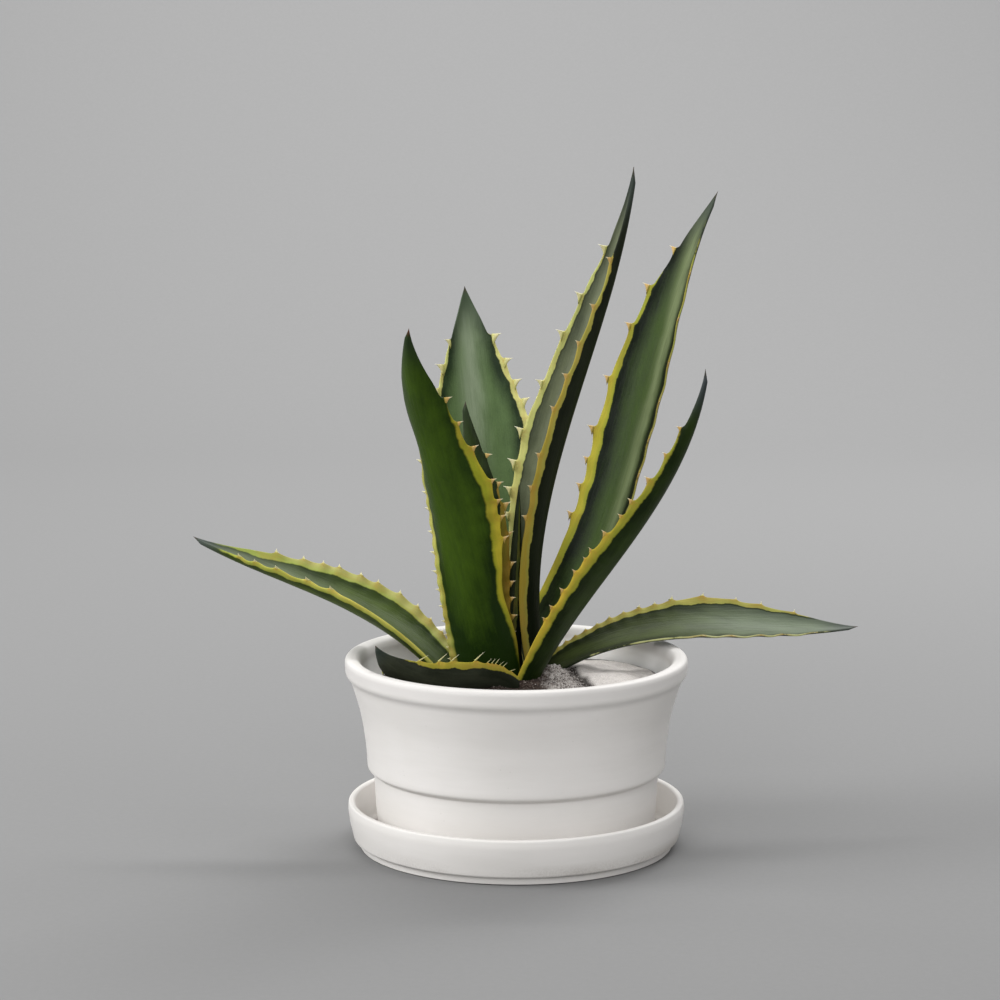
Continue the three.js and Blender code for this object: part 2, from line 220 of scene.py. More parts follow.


# Each blade's colours: the inner and outer face, each in its light and its dark tone, the two
# bands and the tip. The stripe's four numbers are the place, width, amount and start of a pale
# stripe that is partly powdery bloom and partly a painted sheen. Where a leaf doesn't say
# otherwise, the plain paint holds. There, warm is the tone of patches on the band, the stripe's
# colour follows, green is the fresh green that runs into a band by the amount fresh, and thorn is
# the tip's end. Level is how light the green is in the middle, dusk how much darker it is beside a
# band, foot how much painted shade darkens it low down (below nought, painted light lightens it),
# and soft and line make a band's border, line being a thin dark line of painted shade.
PLAIN_PAINT = dict(
    warm=(176, 128, 58), haze=(142, 150, 132), green=(128, 142, 52), thorn=(72, 64, 54),
    streaks=0.45, fresh=0.4, fresh_from=0.62, level=0.78, mottle=1.2, dusk=0.55, dusk_width=9,
    foot=0, soft=0.28, line=0.45)
BLADE_PAINT = {
    "leaf_inner_left": dict(
        inner=((58, 76, 44), (30, 40, 20)), outer=((56, 72, 36), (28, 38, 16)),
        low=(140, 120, 44), high=(130, 106, 34), tip=(46, 58, 36), wax_and_sheen=(0, 8, 0.1, 0.3),
        foot=0.4),
    "leaf_tall_centre": dict(
        inner=((106, 112, 84), (64, 70, 52)), outer=((40, 46, 28), (20, 25, 14)),
        low=(164, 142, 52), high=(208, 206, 126), tip=(52, 60, 54), wax_and_sheen=(0, 10, 0.1, 0.2),
        green=(150, 168, 92), fresh=0.5, foot=0.3),
    "leaf_back": dict(
        inner=((98, 122, 76), (32, 48, 26)), outer=((70, 88, 52), (36, 48, 26)),
        low=(224, 220, 142), high=(200, 204, 128), tip=(70, 84, 64), wax_and_sheen=(3, 6.5, 0.8, 0.5),
        haze=(152, 164, 140), green=(150, 162, 84), fresh=0.4, fresh_from=0.8, level=0.8,
        dusk=0.8, dusk_width=11, soft=0.4, streaks=0.15, mottle=0.7),
    "leaf_tall_right": dict(
        inner=((68, 90, 36), (12, 22, 8)), outer=((60, 76, 42), (30, 40, 22)), low=(176, 156, 92),
        high=(198, 186, 66), tip=(70, 78, 68), wax_and_sheen=(-9, 5.6, 0.8, 0.25), haze=(134, 146, 106),
        green=(122, 144, 50), fresh=0.8, level=0.57, dusk=0.65, dusk_width=15, foot=-0.3,
        line=0.7, streaks=0.25, mottle=0.6),
    "leaf_front_left": dict(
        inner=((70, 86, 48), (36, 48, 24)), outer=((60, 84, 16), (24, 42, 8)),
        low=(190, 188, 100), high=(192, 178, 54), tip=(40, 56, 30), wax_and_sheen=(0, 8, 0.1, 0.5),
        green=(104, 126, 28), fresh=0.85, fresh_from=0.42, level=0.72, dusk=0.5, foot=0.95,
        soft=0.8, thorn=(100, 60, 48), streaks=0.3),
    "leaf_front_right": dict(
        inner=((70, 84, 56), (38, 48, 28)), outer=((44, 60, 20), (20, 32, 8)), low=(196, 170, 58),
        high=(120, 110, 50), tip=(56, 62, 64), wax_and_sheen=(0, 8, 0.1, 0.5), green=(108, 130, 42),
        fresh=0.95, fresh_from=0.42, foot=0.2, soft=0.5, mottle=1.5),
    # Painted shade: this leaf's upturned inner face is painted darker and less blue, offsetting the
    # light and reflection it catches from above.
    "leaf_arching_right": dict(
        inner=((72, 84, 40), (34, 42, 18)), outer=((70, 84, 56), (38, 48, 28)),
        low=(206, 204, 156), high=(180, 172, 92), tip=(86, 92, 86), wax_and_sheen=(0, 16, 0.62, 0.5),
        haze=(136, 148, 130), green=(134, 146, 68), fresh=0.6, level=0.66, line=0.95, foot=0.3),
    # Painted shade: this leaf's upturned inner face is painted darker and less blue, offsetting the
    # light and reflection it catches from above.
    "leaf_low_left": dict(
        inner=((66, 84, 22), (30, 44, 10)), outer=((88, 108, 34), (44, 58, 16)),
        low=(176, 174, 106), high=(196, 188, 92), tip=(72, 80, 74), wax_and_sheen=(0, 10, 0.45, 0.55),
        haze=(138, 146, 126), green=(122, 148, 44), fresh=0.75, level=0.74, foot=0.3, soft=0.5),
    "leaf_short_front": dict(
        inner=((78, 86, 64), (44, 50, 34)), outer=((68, 72, 58), (34, 38, 28)),
        low=(150, 138, 50), high=(172, 158, 56), tip=(46, 54, 48), wax_and_sheen=(0, 6, 0.2, 0.3),
        foot=0.5),
    "heart": dict(
        inner=((50, 58, 38), (28, 32, 20)), outer=((70, 78, 56), (20, 26, 16)), low=(66, 70, 44),
        high=(60, 66, 42), tip=(44, 50, 40), wax_and_sheen=(0, 6, 0.1, 0.3), level=0.6, foot=0.6),
}

# ---------------------------------------------------------------- small helpers for node trees


def feed(tree, node, feeds):
    """Feeds a node's sockets with numbers, colours or other sockets."""
    for name, value in feeds.items():
        if isinstance(value, bpy.types.NodeSocket):
            tree.links.new(value, node.inputs[name])
        else:
            node.inputs[name].default_value = value
    return node


def add_node(tree, kind, feeds=None, **options):
    """Adds a node, sets its options and feeds its sockets."""
    node = tree.nodes.new(kind)
    for option, value in options.items():
        setattr(node, option, value)
    return feed(tree, node, feeds or {})


def sums(tree, operation, *values, clamp=False):
    """One step of arithmetic."""
    feeds = dict(enumerate(values))
    return add_node(tree, "ShaderNodeMath", feeds, operation=operation, use_clamp=clamp).outputs[0]


def plus(tree, first, second, clamp=False):
    """The sum of two numbers."""
    return sums(tree, "ADD", first, second, clamp=clamp)


def minus(tree, first, second, clamp=False):
    """The first number less the second."""
    return sums(tree, "SUBTRACT", first, second, clamp=clamp)


def times(tree, first, second, clamp=False):
    """The product of two numbers."""
    return sums(tree, "MULTIPLY", first, second, clamp=clamp)


def scaled(tree, value, factor, base, clamp=False):
    """The value times a factor, plus a base."""
    return sums(tree, "MULTIPLY_ADD", value, factor, base, clamp=clamp)


def varied(tree, noise, amount, base, clamp=False):
    """The base, raised where the noise is over a half and lowered where it is under it."""
    return scaled(tree, minus(tree, noise, 0.5), amount, base, clamp)


def ease(tree, value, start, end, low=0.0, high=1.0):
    """A soft step from low to high as value goes from start to end."""
    feeds = {0: value, 1: start, 2: end, 3: low, 4: high}
    node = add_node(tree, "ShaderNodeMapRange", feeds, interpolation_type="SMOOTHSTEP")
    return node.outputs[0]


def stir(tree, share, first, second):
    """Mixes two colours."""
    feeds = {0: share, 6: first, 7: second}
    return add_node(tree, "ShaderNodeMix", feeds, data_type="RGBA").outputs[2]


def cloud(tree, place, scale, detail=2.0, rough=0.5):
    """Soft noise between 0 and 1."""
    feeds = {"Vector": place, "Scale": scale, "Detail": detail, "Roughness": rough}
    return add_node(tree, "ShaderNodeTexNoise", feeds).outputs[0]


def point_at(tree, x, y, z):
    """A place from its three parts."""
    return add_node(tree, "ShaderNodeCombineXYZ", {0: x, 1: y, 2: z}).outputs[0]


def parts_of(tree, place):
    """The three parts of a place."""
    return add_node(tree, "ShaderNodeSeparateXYZ", {0: place}).outputs


def object_place(tree):
    """The place on the piece, in metres from its origin."""
    return add_node(tree, "ShaderNodeTexCoord").outputs["Object"]


def own_value(tree, name):
    """A number kept on the piece's own points."""
    return add_node(tree, "ShaderNodeAttribute", attribute_name=name).outputs["Fac"]


def stored(tree, name, kind):
    """A value kept on the points of the carrier that a Geometry Nodes tree runs on."""
    node = add_node(tree, "GeometryNodeInputNamedAttribute", {"Name": name}, data_type=kind)
    return next(out for out in node.outputs if out.enabled and out.name == "Attribute")


def new_group(name, kind, takes, gives):
    """An empty node group, its inputs and outputs given as names under their kind of socket."""
    tree = bpy.data.node_groups.new(name, kind)
    for way, sockets in (("INPUT", takes), ("OUTPUT", gives)):
        for socket, titles in sockets.items():
            for title in titles:
                tree.interface.new_socket(
                    name=title, in_out=way, socket_type="NodeSocket" + socket)
    return tree, tree.nodes.new("NodeGroupInput").outputs, tree.nodes.new("NodeGroupOutput")


def use_group(tree, group, feeds):
    """The outputs of a group, placed in a tree and fed."""
    return add_node(tree, "ShaderNodeGroup", feeds, node_tree=group).outputs


def new_material(name):
    """A material with a bare Principled shader, and its tree."""
    material = bpy.data.materials.new(name)
    material.use_nodes = True
    return material, material.node_tree, material.node_tree.nodes["Principled BSDF"]


# ---------------------------------------------------------------- groups for the finishes


def group_blade_markings():
    """Green middle, pale bands, a dark line of painted shade between them, streaks, a pale stripe
    of bloom and painted sheen, painted shade low down, and a dark tip.
    """
    tree, take, give = new_group(
        "blade_markings", "ShaderNodeTree",
        {"Float": ("Along", "Run", "Reach", "Rim", "Under", "Swelling", "Seed", "Bloom place",
                   "Bloom width", "Bloom amount", "Bloom start", "Streaks", "Fresh", "Fresh from",
                   "Level", "Mottle", "Dusk", "Dusk width", "Foot", "Soft", "Line"),
         "Color": ("Inner light", "Inner dark", "Outer light", "Outer dark", "Low band",
                   "High band", "Warm", "Tip", "Wax and sheen", "Fresh green", "Thorn")},
        {"Color": ("Color",), "Float": ("Roughness", "Height")})
    along, run, reach, rim = take["Along"], take["Run"], take["Reach"], take["Rim"]
    shift = times(tree, take["Seed"], 13.7)
    side = sums(tree, "GREATER_THAN", reach, 0.0)

    def lengthwise(across, onward, *form):
        """Noise that is drawn out along the leaf."""
        place = point_at(tree, times(tree, reach, across), times(tree, run, onward), shift)
        return cloud(tree, place, *form)

    def beside_margin(onward):
        """Noise that changes along the leaf only, its own on either side."""
        return cloud(tree, point_at(tree, times(tree, run, onward), side, shift), 1.0, 2.0)

    streak = lengthwise(1.1, 0.03, 1.0, 3.0, 0.6)
    mottle = lengthwise(0.12, 0.045, 1.0, 3.0, 0.55)
    fine = lengthwise(0.9, 0.5, 1.6, 3.0, 0.6)

    # How light the green is: lighter along the middle, darker against the band, and darker low down
    # with painted shade.
    beside = ease(tree, rim, times(tree, take["Dusk width"], -1.0), -0.5)
    light = minus(tree, take["Level"], times(tree, beside, take["Dusk"]))
    lower = times(tree, ease(tree, along, 0.38, 0.0), take["Foot"])
    light = minus(tree, light, lower)
    light = varied(tree, mottle, take["Mottle"], light)
    light = varied(tree, streak, take["Streaks"], light)
    light = varied(tree, fine, 0.35, light, clamp=True)
    inner = stir(tree, light, take["Inner dark"], take["Inner light"])
    outer = stir(tree, light, take["Outer dark"], take["Outer light"])

    # The pale stripe, on the inner face only, is partly powdery bloom and partly a painted sheen.
    middle = times(tree, take["Bloom place"], ease(tree, along, 1.0, 0.6))
    offset = varied(tree, mottle, 8.0, minus(tree, reach, middle))
    swell = sums(tree, "DIVIDE", offset, take["Bloom width"])
    wax_and_sheen_mask = sums(tree, "EXPONENT", times(tree, times(tree, swell, swell), -1.0))
    worn = ease(tree, plus(tree, streak, mottle), 0.55, 1.35, 0.6, 1.0)
    begin = minus(tree, along, take["Bloom start"])
    wax_and_sheen_mask = times(tree, wax_and_sheen_mask, ease(tree, begin, -0.15, 0.2))
    wax_and_sheen_mask = times(tree, times(tree, wax_and_sheen_mask, worn), take["Bloom amount"], clamp=True)
    inner = stir(tree, wax_and_sheen_mask, inner, take["Wax and sheen"])
    green = stir(tree, take["Under"], inner, outer)

    # The band's inner border wanders a little and is finely ragged.
    border = varied(tree, beside_margin(0.085), 3.6, rim)
    border = varied(tree, beside_margin(0.7), 0.7, border)
    band = ease(tree, border, times(tree, take["Soft"], -1.0), take["Soft"])
    # A thin dark line of painted shade runs along the band's border.
    crease = times(tree, ease(tree, border, -1.5, -0.3), minus(tree, 1.0, band))
    green = stir(tree, times(tree, crease, take["Line"]), green, take["Outer dark"])

    pale = stir(tree, side, take["Low band"], take["High band"])
    brushed = ease(tree, streak, 0.35, 0.7)
    leafy = stir(tree, 0.75, pale, take["Fresh green"])
    pale = stir(tree, times(tree, brushed, 0.2), pale, leafy)
    # Fresh green runs in from the border, more in some stretches, and most near the tip.
    young = minus(tree, along, take["Fresh from"])
    depth = scaled(tree, ease(tree, young, -0.12, 0.2), 2.5, 2.0)
    depth = scaled(tree, ease(tree, beside_margin(0.04), 0.4, 0.65), 2.6, depth)
    fresh = minus(tree, 1.0, sums(tree, "DIVIDE", border, depth), clamp=True)
    fresh = scaled(tree, ease(tree, young, 0.0, 0.25), 0.5, fresh)
    fresh = scaled(tree, ease(tree, mottle, 0.42, 0.62), 0.3, fresh, clamp=True)
    pale = stir(tree, times(tree, fresh, take["Fresh"]), pale, leafy)
    # Painted shade darkens the band low down as well.
    pale = stir(tree, times(tree, lower, 0.6), pale, take["Outer dark"])
    blush = times(tree, take["Swelling"], ease(tree, fine, 0.3, 0.62))
    blush = scaled(tree, ease(tree, mottle, 0.48, 0.66), 0.3, blush)
    pale = stir(tree, times(tree, blush, 0.75, clamp=True), pale, take["Warm"])
    surface = stir(tree, band, green, pale)

    # The tip darkens and ends in a thorn.
    ending = ease(tree, varied(tree, mottle, 0.05, along), 0.86, 0.975)
    surface = stir(tree, ending, surface, take["Tip"])
    surface = stir(tree, ease(tree, along, 0.975, 1.0), surface, take["Thorn"])
    gloss = scaled(tree, plus(tree, wax_and_sheen_mask, band), 0.08, scaled(tree, mottle, 0.22, 0.34))
    ribs = scaled(tree, streak, 0.6, times(tree, mottle, 1.4))
    ribs = scaled(tree, band, 0.12, scaled(tree, fine, 0.25, ribs))
    feed(tree, give, {"Color": surface, "Roughness": gloss, "Height": ribs})
    return tree


def group_fired_clay():
    """Matt glaze over clay: soft clouds, small pits, and dust or a water line near a height."""
    tree, take, give = new_group(
        "fired_clay", "ShaderNodeTree",
        {"Vector": ("Place",), "Color": ("Glaze", "Shade", "Dust"),
         "Float": ("Dust height", "Dust depth", "Dust amount", "Pits")},
        {"Color": ("Color",), "Float": ("Roughness", "Height")})
    place = take["Place"]
    clouds = cloud(tree, place, 14.0, 3.0, 0.55)
    brush = add_node(tree, "ShaderNodeMapping", {"Vector": place, "Scale": (1.0, 1.0, 7.0)})
    turning = cloud(tree, brush.outputs[0], 30.0, 3.0, 0.6)
    grain = cloud(tree, place, 900.0, 2.0, 0.6)
    spots = add_node(tree, "ShaderNodeTexVoronoi", {"Vector": place, "Scale": 260.0})
    pit = ease(tree, spots.outputs["Distance"], 0.16, 0.05)
    rare = ease(tree, cloud(tree, place, 75.0, 1.0), 0.6, 0.72)
    pit = times(tree, times(tree, pit, rare), take["Pits"])
    tone = scaled(tree, clouds, 0.7, times(tree, turning, 0.3))
    glaze = stir(tree, ease(tree, tone, 0.3, 0.7), take["Shade"], take["Glaze"])
    away = sums(tree, "ABSOLUTE", minus(tree, parts_of(tree, place)[2], take["Dust height"]))
    near = minus(tree, 1.0, sums(tree, "DIVIDE", away, take["Dust depth"]), clamp=True)
    patchy = ease(tree, scaled(tree, grain, 0.3, clouds), 0.5, 0.85)
    dust = times(tree, times(tree, near, patchy), take["Dust amount"])
    glaze = stir(tree, plus(tree, dust, pit, clamp=True), glaze, take["Dust"])
    matt = scaled(tree, dust, 0.3, scaled(tree, turning, 0.18, 0.42))
    relief = scaled(tree, grain, 0.12, times(tree, turning, 0.8))
    feed(tree, give, {"Color": glaze, "Roughness": matt, "Height": minus(tree, relief, pit)})
    return tree


def group_earth_speckle():
    """Fine grit: dark and pale specks on a ground colour."""
    tree, take, give = new_group(
        "earth_speckle", "ShaderNodeTree",
        {"Vector": ("Place",), "Color": ("Ground", "Dark", "Pale"),
         "Float": ("Speck scale", "Contrast")},
        {"Color": ("Color",), "Float": ("Height",)})
    place = take["Place"]
    cells = add_node(tree, "ShaderNodeTexVoronoi", {"Vector": place, "Scale": take["Speck scale"]})
    pick = add_node(tree, "ShaderNodeSeparateColor", {0: cells.outputs["Color"]}).outputs[0]
    grit = cloud(tree, place, 1500.0, 2.0, 0.7)
    body = cloud(tree, place, 60.0, 3.0, 0.6)
    ground = stir(tree, ease(tree, body, 0.35, 0.65), take["Ground"], take["Dark"])
    ground = stir(tree, 0.5, ground, take["Ground"])
    dark = times(tree, ease(tree, pick, 0.62, 0.9), take["Contrast"])
    pale = times(tree, ease(tree, pick, 0.3, 0.08), take["Contrast"])
    ground = stir(tree, dark, ground, take["Dark"])
    ground = stir(tree, pale, ground, take["Pale"])
    shade = stir(tree, ease(tree, grit, 0.3, 0.7), take["Dark"], ground)
    feed(tree, give, {"Color": stir(tree, 0.4, ground, shade),
                      "Height": scaled(tree, grit, 0.5, cells.outputs["Distance"])})
    return tree


MARKINGS = group_blade_markings()
FIRED_CLAY = group_fired_clay()
EARTH_SPECKLE = group_earth_speckle()


# ---------------------------------------------------------------- finishes


def add_relief(tree, shader, height, depth):
    """Small surface relief, depth in millimetres."""
    feeds = {"Height": height, "Distance": depth * MM, "Strength": 1.0}
    feed(tree, shader, {"Normal": add_node(tree, "ShaderNodeBump", feeds).outputs[0]})


def blade_finish(name, seed):
    """The finish of one leaf, in its own colours."""
    own = {**PLAIN_PAINT, **BLADE_PAINT[name]}
    material, tree, shader = new_material(name + "_skin")
    feeds = {title: own_value(tree, title.lower())
             for title in ("Along", "Run", "Reach", "Rim", "Under", "Swelling")}
    feeds["Seed"] = float(seed)
    for face in ("inner", "outer"):
        for tone, colour in zip(("light", "dark"), own[face]):
            feeds[f"{face.capitalize()} {tone}"] = paint(*colour)
    for title, key in (("Low band", "low"), ("High band", "high"), ("Warm", "warm"),
                       ("Tip", "tip"), ("Wax and sheen", "haze"), ("Fresh green", "green"),
                       ("Thorn", "thorn")):
        feeds[title] = paint(*own[key])
    for title, value in zip(("place", "width", "amount", "start"), own["wax_and_sheen"]):
        feeds["Bloom " + title] = float(value)
    for key in ("streaks", "fresh", "fresh_from", "level", "mottle", "dusk", "dusk_width", "foot",
                "soft", "line"):
        feeds[key.replace("_", " ").capitalize()] = float(own[key])
    out = use_group(tree, MARKINGS, feeds)
    feed(tree, shader, {"Base Color": out["Color"], "Roughness": out["Roughness"],
                        "Specular IOR Level": 0.1})
    add_relief(tree, shader, out["Height"], 0.35)
    return material


def tooth_finish(name, root, middle, point):
    """Horn of the teeth: the root takes the band's colour, the point is pale."""
    material, tree, shader = new_material(name)
    grain = cloud(tree, object_place(tree), 700.0, 2.0)
    reach = varied(tree, grain, 0.25, own_value(tree, "toward_tip"))
    colour = stir(tree, ease(tree, reach, 0.0, 0.4), paint(*root), paint(*middle))
    colour = stir(tree, ease(tree, reach, 0.45, 0.85), colour, paint(*point))
    feed(tree, shader, {"Base Color": colour, "Roughness": scaled(tree, grain, 0.2, 0.32)})
    add_relief(tree, shader, grain, 0.05)
    return material


def pot_painted_light(tree, place, outside, inside, lip):
    """One tone of the pot's glaze: painted light makes it whiter down the inside, and painted shade
    makes it a little duller round the lip.
    """
    x, y, height = parts_of(tree, place)
    reach = sums(tree, "SQRT", plus(tree, times(tree, x, x), times(tree, y, y)))
    wall = scaled(tree, height, WALL_SLOPE, WALL_RADIUS * MM)
    # Painted light: the inside of the wall takes the whiter tone.
    painted_light_inside = ease(tree, minus(tree, reach, wall), 0.6 * MM, -0.6 * MM)
    tone = stir(tree, painted_light_inside, outside, inside)
    # Painted shade: the lip takes the duller tone.
    return stir(tree, ease(tree, height, LIP_SHADE_START * MM, LIP_SHADE_FULL * MM), tone, lip)


def clay_finish(name, glaze, shade, dust_height, dust_depth, dust_amount, inside=None, lip=None):
    """Glazed clay; a pot may have painted light inside and painted shade round its lip."""
    material, tree, shader = new_material(name)
    place = object_place(tree)
    light, deep = paint(*glaze), paint(*shade)
    if inside:
        light = pot_painted_light(tree, place, light, paint(*inside), paint(*lip))
        deep = pot_painted_light(tree, place, deep, paint(*[part - 5 for part in inside]),
                        paint(*[part - 5 for part in lip]))
    out = use_group(tree, FIRED_CLAY, {
        "Place": place, "Glaze": light, "Shade": deep, "Dust": paint(150, 142, 130),
        "Dust height": dust_height * MM, "Dust depth": dust_depth * MM,
        "Dust amount": dust_amount, "Pits": 0.15})
    feed(tree, shader, {"Base Color": out["Color"], "Roughness": out["Roughness"],
                        "Specular IOR Level": 0.3})
    add_relief(tree, shader, out["Height"], 0.12)
    return material


def ashy_share(tree, place):
    """How much pale ash lies on the earth: none by the plant, more toward the sand on the right."""
    ragged = scaled(tree, cloud(tree, place, 140.0, 4.0, 0.7), 24 * MM, parts_of(tree, place)[0])
    return ease(tree, ragged, 25 * MM, 35 * MM)


def speckled(tree, place, ground, dark, pale, speck_scale, contrast):
    """The outputs of the speckle group for one kind of earth."""
    return use_group(tree, EARTH_SPECKLE, {
        "Place": place, "Ground": paint(*ground), "Dark": paint(*dark), "Pale": paint(*pale),
        "Speck scale": speck_scale, "Contrast": contrast})


def earth_finish(name):
    """Dark earth near the plant, ash beyond it, and paler smoothed sand to the right, with painted
    shade in the crease and along the wall.
    """
    material, tree, shader = new_material(name)
    place = object_place(tree)
    mould = speckled(tree, place, (74, 61, 55), (38, 29, 25), (124, 112, 104), 1300.0, 0.7)
    ash = speckled(tree, place, (196, 190, 185), (88, 79, 74), (236, 232, 228), 1500.0, 0.8)
    sand = speckled(tree, place, (234, 228, 223), (192, 186, 181), (244, 240, 237), 1400.0, 0.45)
    spread = scaled(tree, cloud(tree, place, 220.0, 4.0, 0.7), 0.4, own_value(tree, "sandy"))
    colour = stir(tree, ashy_share(tree, place), mould["Color"], ash["Color"])
    colour = stir(tree, ease(tree, spread, 0.5, 0.95), colour, sand["Color"])
    # Painted shade: the crease's shaded slope and a thin line where the earth meets the wall are
    # darkened.
    dusk = ease(tree, own_value(tree, "painted_shade"), 0.0, 1.0)
    colour = stir(tree, times(tree, dusk, 0.85), colour, paint(38, 31, 27))
    feed(tree, shader, {"Base Color": colour, "Roughness": 0.95, "Specular IOR Level": 0.2})
    add_relief(tree, shader, plus(tree, mould["Height"], sand["Height"]), 0.35)
    return material


def crumb_finish(name):
    """Loose crumbs, each in its own tone."""
    material, tree, shader = new_material(name)
    place = object_place(tree)
    tone = own_value(tree, "tone")
    speckle = speckled(tree, place, (90, 76, 68), (44, 35, 30), (180, 172, 164), 1600.0, 0.4)
    colour = stir(tree, ashy_share(tree, place), speckle["Color"], paint(176, 170, 165))
    colour = stir(tree, ease(tree, tone, 0.42, 0.1), colour, paint(44, 34, 29))
    colour = stir(tree, ease(tree, tone, 0.88, 0.98), colour, paint(164, 157, 150))
    feed(tree, shader, {"Base Color": colour, "Roughness": 0.92})
    add_relief(tree, shader, speckle["Height"], 0.15)
    return material


def paper_finish():
    """Plain grey studio paper."""
    material, tree, shader = new_material("studio_paper")
    fibre = cloud(tree, object_place(tree), 260.0, 3.0)
    colour = stir(tree, fibre, paint(131, 131, 131), paint(135, 135, 135))
    feed(tree, shader, {"Base Color": colour, "Roughness": 0.9, "Specular IOR Level": 0.15})
    return material


# ---------------------------------------------------------------- small helpers for meshes


def make_piece(name, points, faces, material, values=None):
    """A piece from points in millimetres, at the origin, with its own numbers on its points."""
    mesh = bpy.data.meshes.new(name)
    mesh.from_pydata((np.asarray(points) * MM).tolist(), [], faces)
    for title, numbers in (values or {}).items():
        field = mesh.attributes.new(title, "FLOAT", "POINT")
        field.data.foreach_set("value", np.asarray(numbers, np.float32).ravel())
    mesh.polygons.foreach_set("use_smooth", [True] * len(mesh.polygons))
    mesh.update()
    piece = bpy.data.objects.new(name, mesh)
    bpy.context.collection.objects.link(piece)
    if material:
        mesh.materials.append(material)
    return piece


def circle(angle, radius, height):
    """A ring of points round the upright axis."""
    return np.stack([radius * np.cos(angle), radius * np.sin(angle),
                     np.full(len(angle), float(height))], 1)


def ring_faces(rings, around, outward=True, closed=False):
    """Faces of a skin of rings with as many points each; if closed, the last meets the first."""
    here = np.arange(around)
    after = (here + 1) % around
    faces = []
    for ring in range(rings if closed else rings - 1):
        low, high = ring * around, (ring + 1) % rings * around
        quad = np.stack([low + here, low + after, high + after, high + here], 1)
        faces.append(quad if outward else quad[:, ::-1])
    return np.concatenate(faces).tolist()


def closed_skin(rings, start, end, outward=True):
    """Points and faces of a skin of rings that one point closes at its start and at its end."""
    count, around = rings.shape[:2]
    faces = ring_faces(count, around, outward)
    first_point, last_point, last = count * around, count * around + 1, (count - 1) * around
    for step in range(around):
        after = (step + 1) % around
        one, other = (after, step) if outward else (step, after)
        faces.append([one, other, first_point])
        faces.append([last + other, last + one, last_point])
    return np.concatenate([rings.reshape(-1, 3), [start, end]]), faces


def with_ends(values):
    """The values of a skin's rings, then the means of its first and its last for its two ends."""
    return {title: np.concatenate([rows.ravel(), [rows[0].mean(), rows[-1].mean()]])
            for title, rows in values.items()}


def set_on_plant(piece, node=None):
    """Rides the piece on the plant's one body and hides the solid it stands for."""
    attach(piece, "root")
    if node:
        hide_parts(node)
    return piece


def run_tree(name, carrier, tree, feeds, material):
    """Runs a Geometry Nodes tree on a carrier and keeps the result as a plain piece."""
    modifier = carrier.modifiers.new("maker", "NODES")
    modifier.node_group = tree
    feeds = {**feeds, "Material": material}
    for item in tree.interface.items_tree:
        if item.in_out == "INPUT" and item.name in feeds:
            modifier[item.identifier] = feeds[item.name]
    graph = bpy.context.evaluated_depsgraph_get()
    mesh = bpy.data.meshes.new_from_object(carrier.evaluated_get(graph))
    carrier.modifiers.remove(modifier)
    mesh.name = name
    piece = bpy.data.objects.new(name, mesh)
    bpy.context.collection.objects.link(piece)
    return piece


def drop(piece):
    """Takes away a piece that only carried others."""
    mesh = piece.data
    bpy.data.objects.remove(piece)
    bpy.data.meshes.remove(mesh)


# ---------------------------------------------------------------- the form of a leaf


def through(values, t):
    """The quadratic through the values at foot, middle and tip."""
    start, middle, end = values
    return start * (1 - t) * (1 - 2 * t) + 4 * middle * t * (1 - t) + end * t * (2 * t - 1)


def directions(leaf, t):
    """The way the leaf's middle line runs at t, 0 at the foot and 1 at the tip."""
    t = np.clip(t, 0, 1)
    rise = np.radians(through(leaf["rise"], t))
    heading = np.radians(through(leaf["heading"], t))
    flat = np.cos(rise)
    return np.stack([flat * np.cos(heading), flat * np.sin(heading), np.sin(rise)], -1)


def path_points(leaf, t):
    """Points on the leaf's middle line; below the foot it goes on straight."""
    middles = (np.arange(PATH_STEPS) + 0.5) / PATH_STEPS
    steps = directions(leaf, middles) * leaf["length"] / PATH_STEPS
    line = np.vstack([np.zeros(3), np.cumsum(steps, 0)]) + np.array(leaf["foot"], float)
    knots = np.linspace(0, 1, PATH_STEPS + 1)
    inside = np.clip(t, 0, 1)
    points = np.stack([np.interp(inside, knots, line[:, axis]) for axis in range(3)], -1)
    points[..., 2] -= leaf.get("tuck", 0) * np.clip((0.2 - t) / 0.2, 0, 1.2) ** 2
    below = np.minimum(t, 0)[..., None]
    return points + directions(leaf, np.zeros(1)) * below * leaf["length"]


def half_width(leaf, t):
    """Half the blade's width at t, measured round its channel."""
    t = np.maximum(t, 0)
    share = np.minimum(t / leaf["widest"], 1)
    swell = leaf["neck"] + (1 - leaf["neck"]) * np.sin(np.pi / 2 * share) ** 1.5
    past = np.clip((t - leaf["widest"]) / (1 - leaf["widest"]), 0, 1)
    begins = leaf.get("slim_from", 0.83)
    slim = 1 - leaf.get("slim", 0.2) * np.clip((t - begins) / (1 - begins), 0, 1)
    wide = np.where(t < leaf["widest"], swell, 1 - past ** leaf["taper"])
    return np.maximum(leaf["width"] / 2 * wide * slim, NARROWEST)


def blade_frame(leaf, t):
    """Sideways and upward directions of the blade, turned by its twist."""
    along = directions(leaf, t)
    heading = np.radians(through(leaf["heading"], np.clip(t, 0, 1)))
    level = np.stack([-np.sin(heading), np.cos(heading), np.zeros_like(heading)], -1)
    over = np.cross(along, level)
    first, last = leaf["twist"]
    turn = np.radians(first + (last - first) * np.clip(t, 0, 1))[..., None]
    return level * np.cos(turn) + over * np.sin(turn), over * np.cos(turn) - level * np.sin(turn)


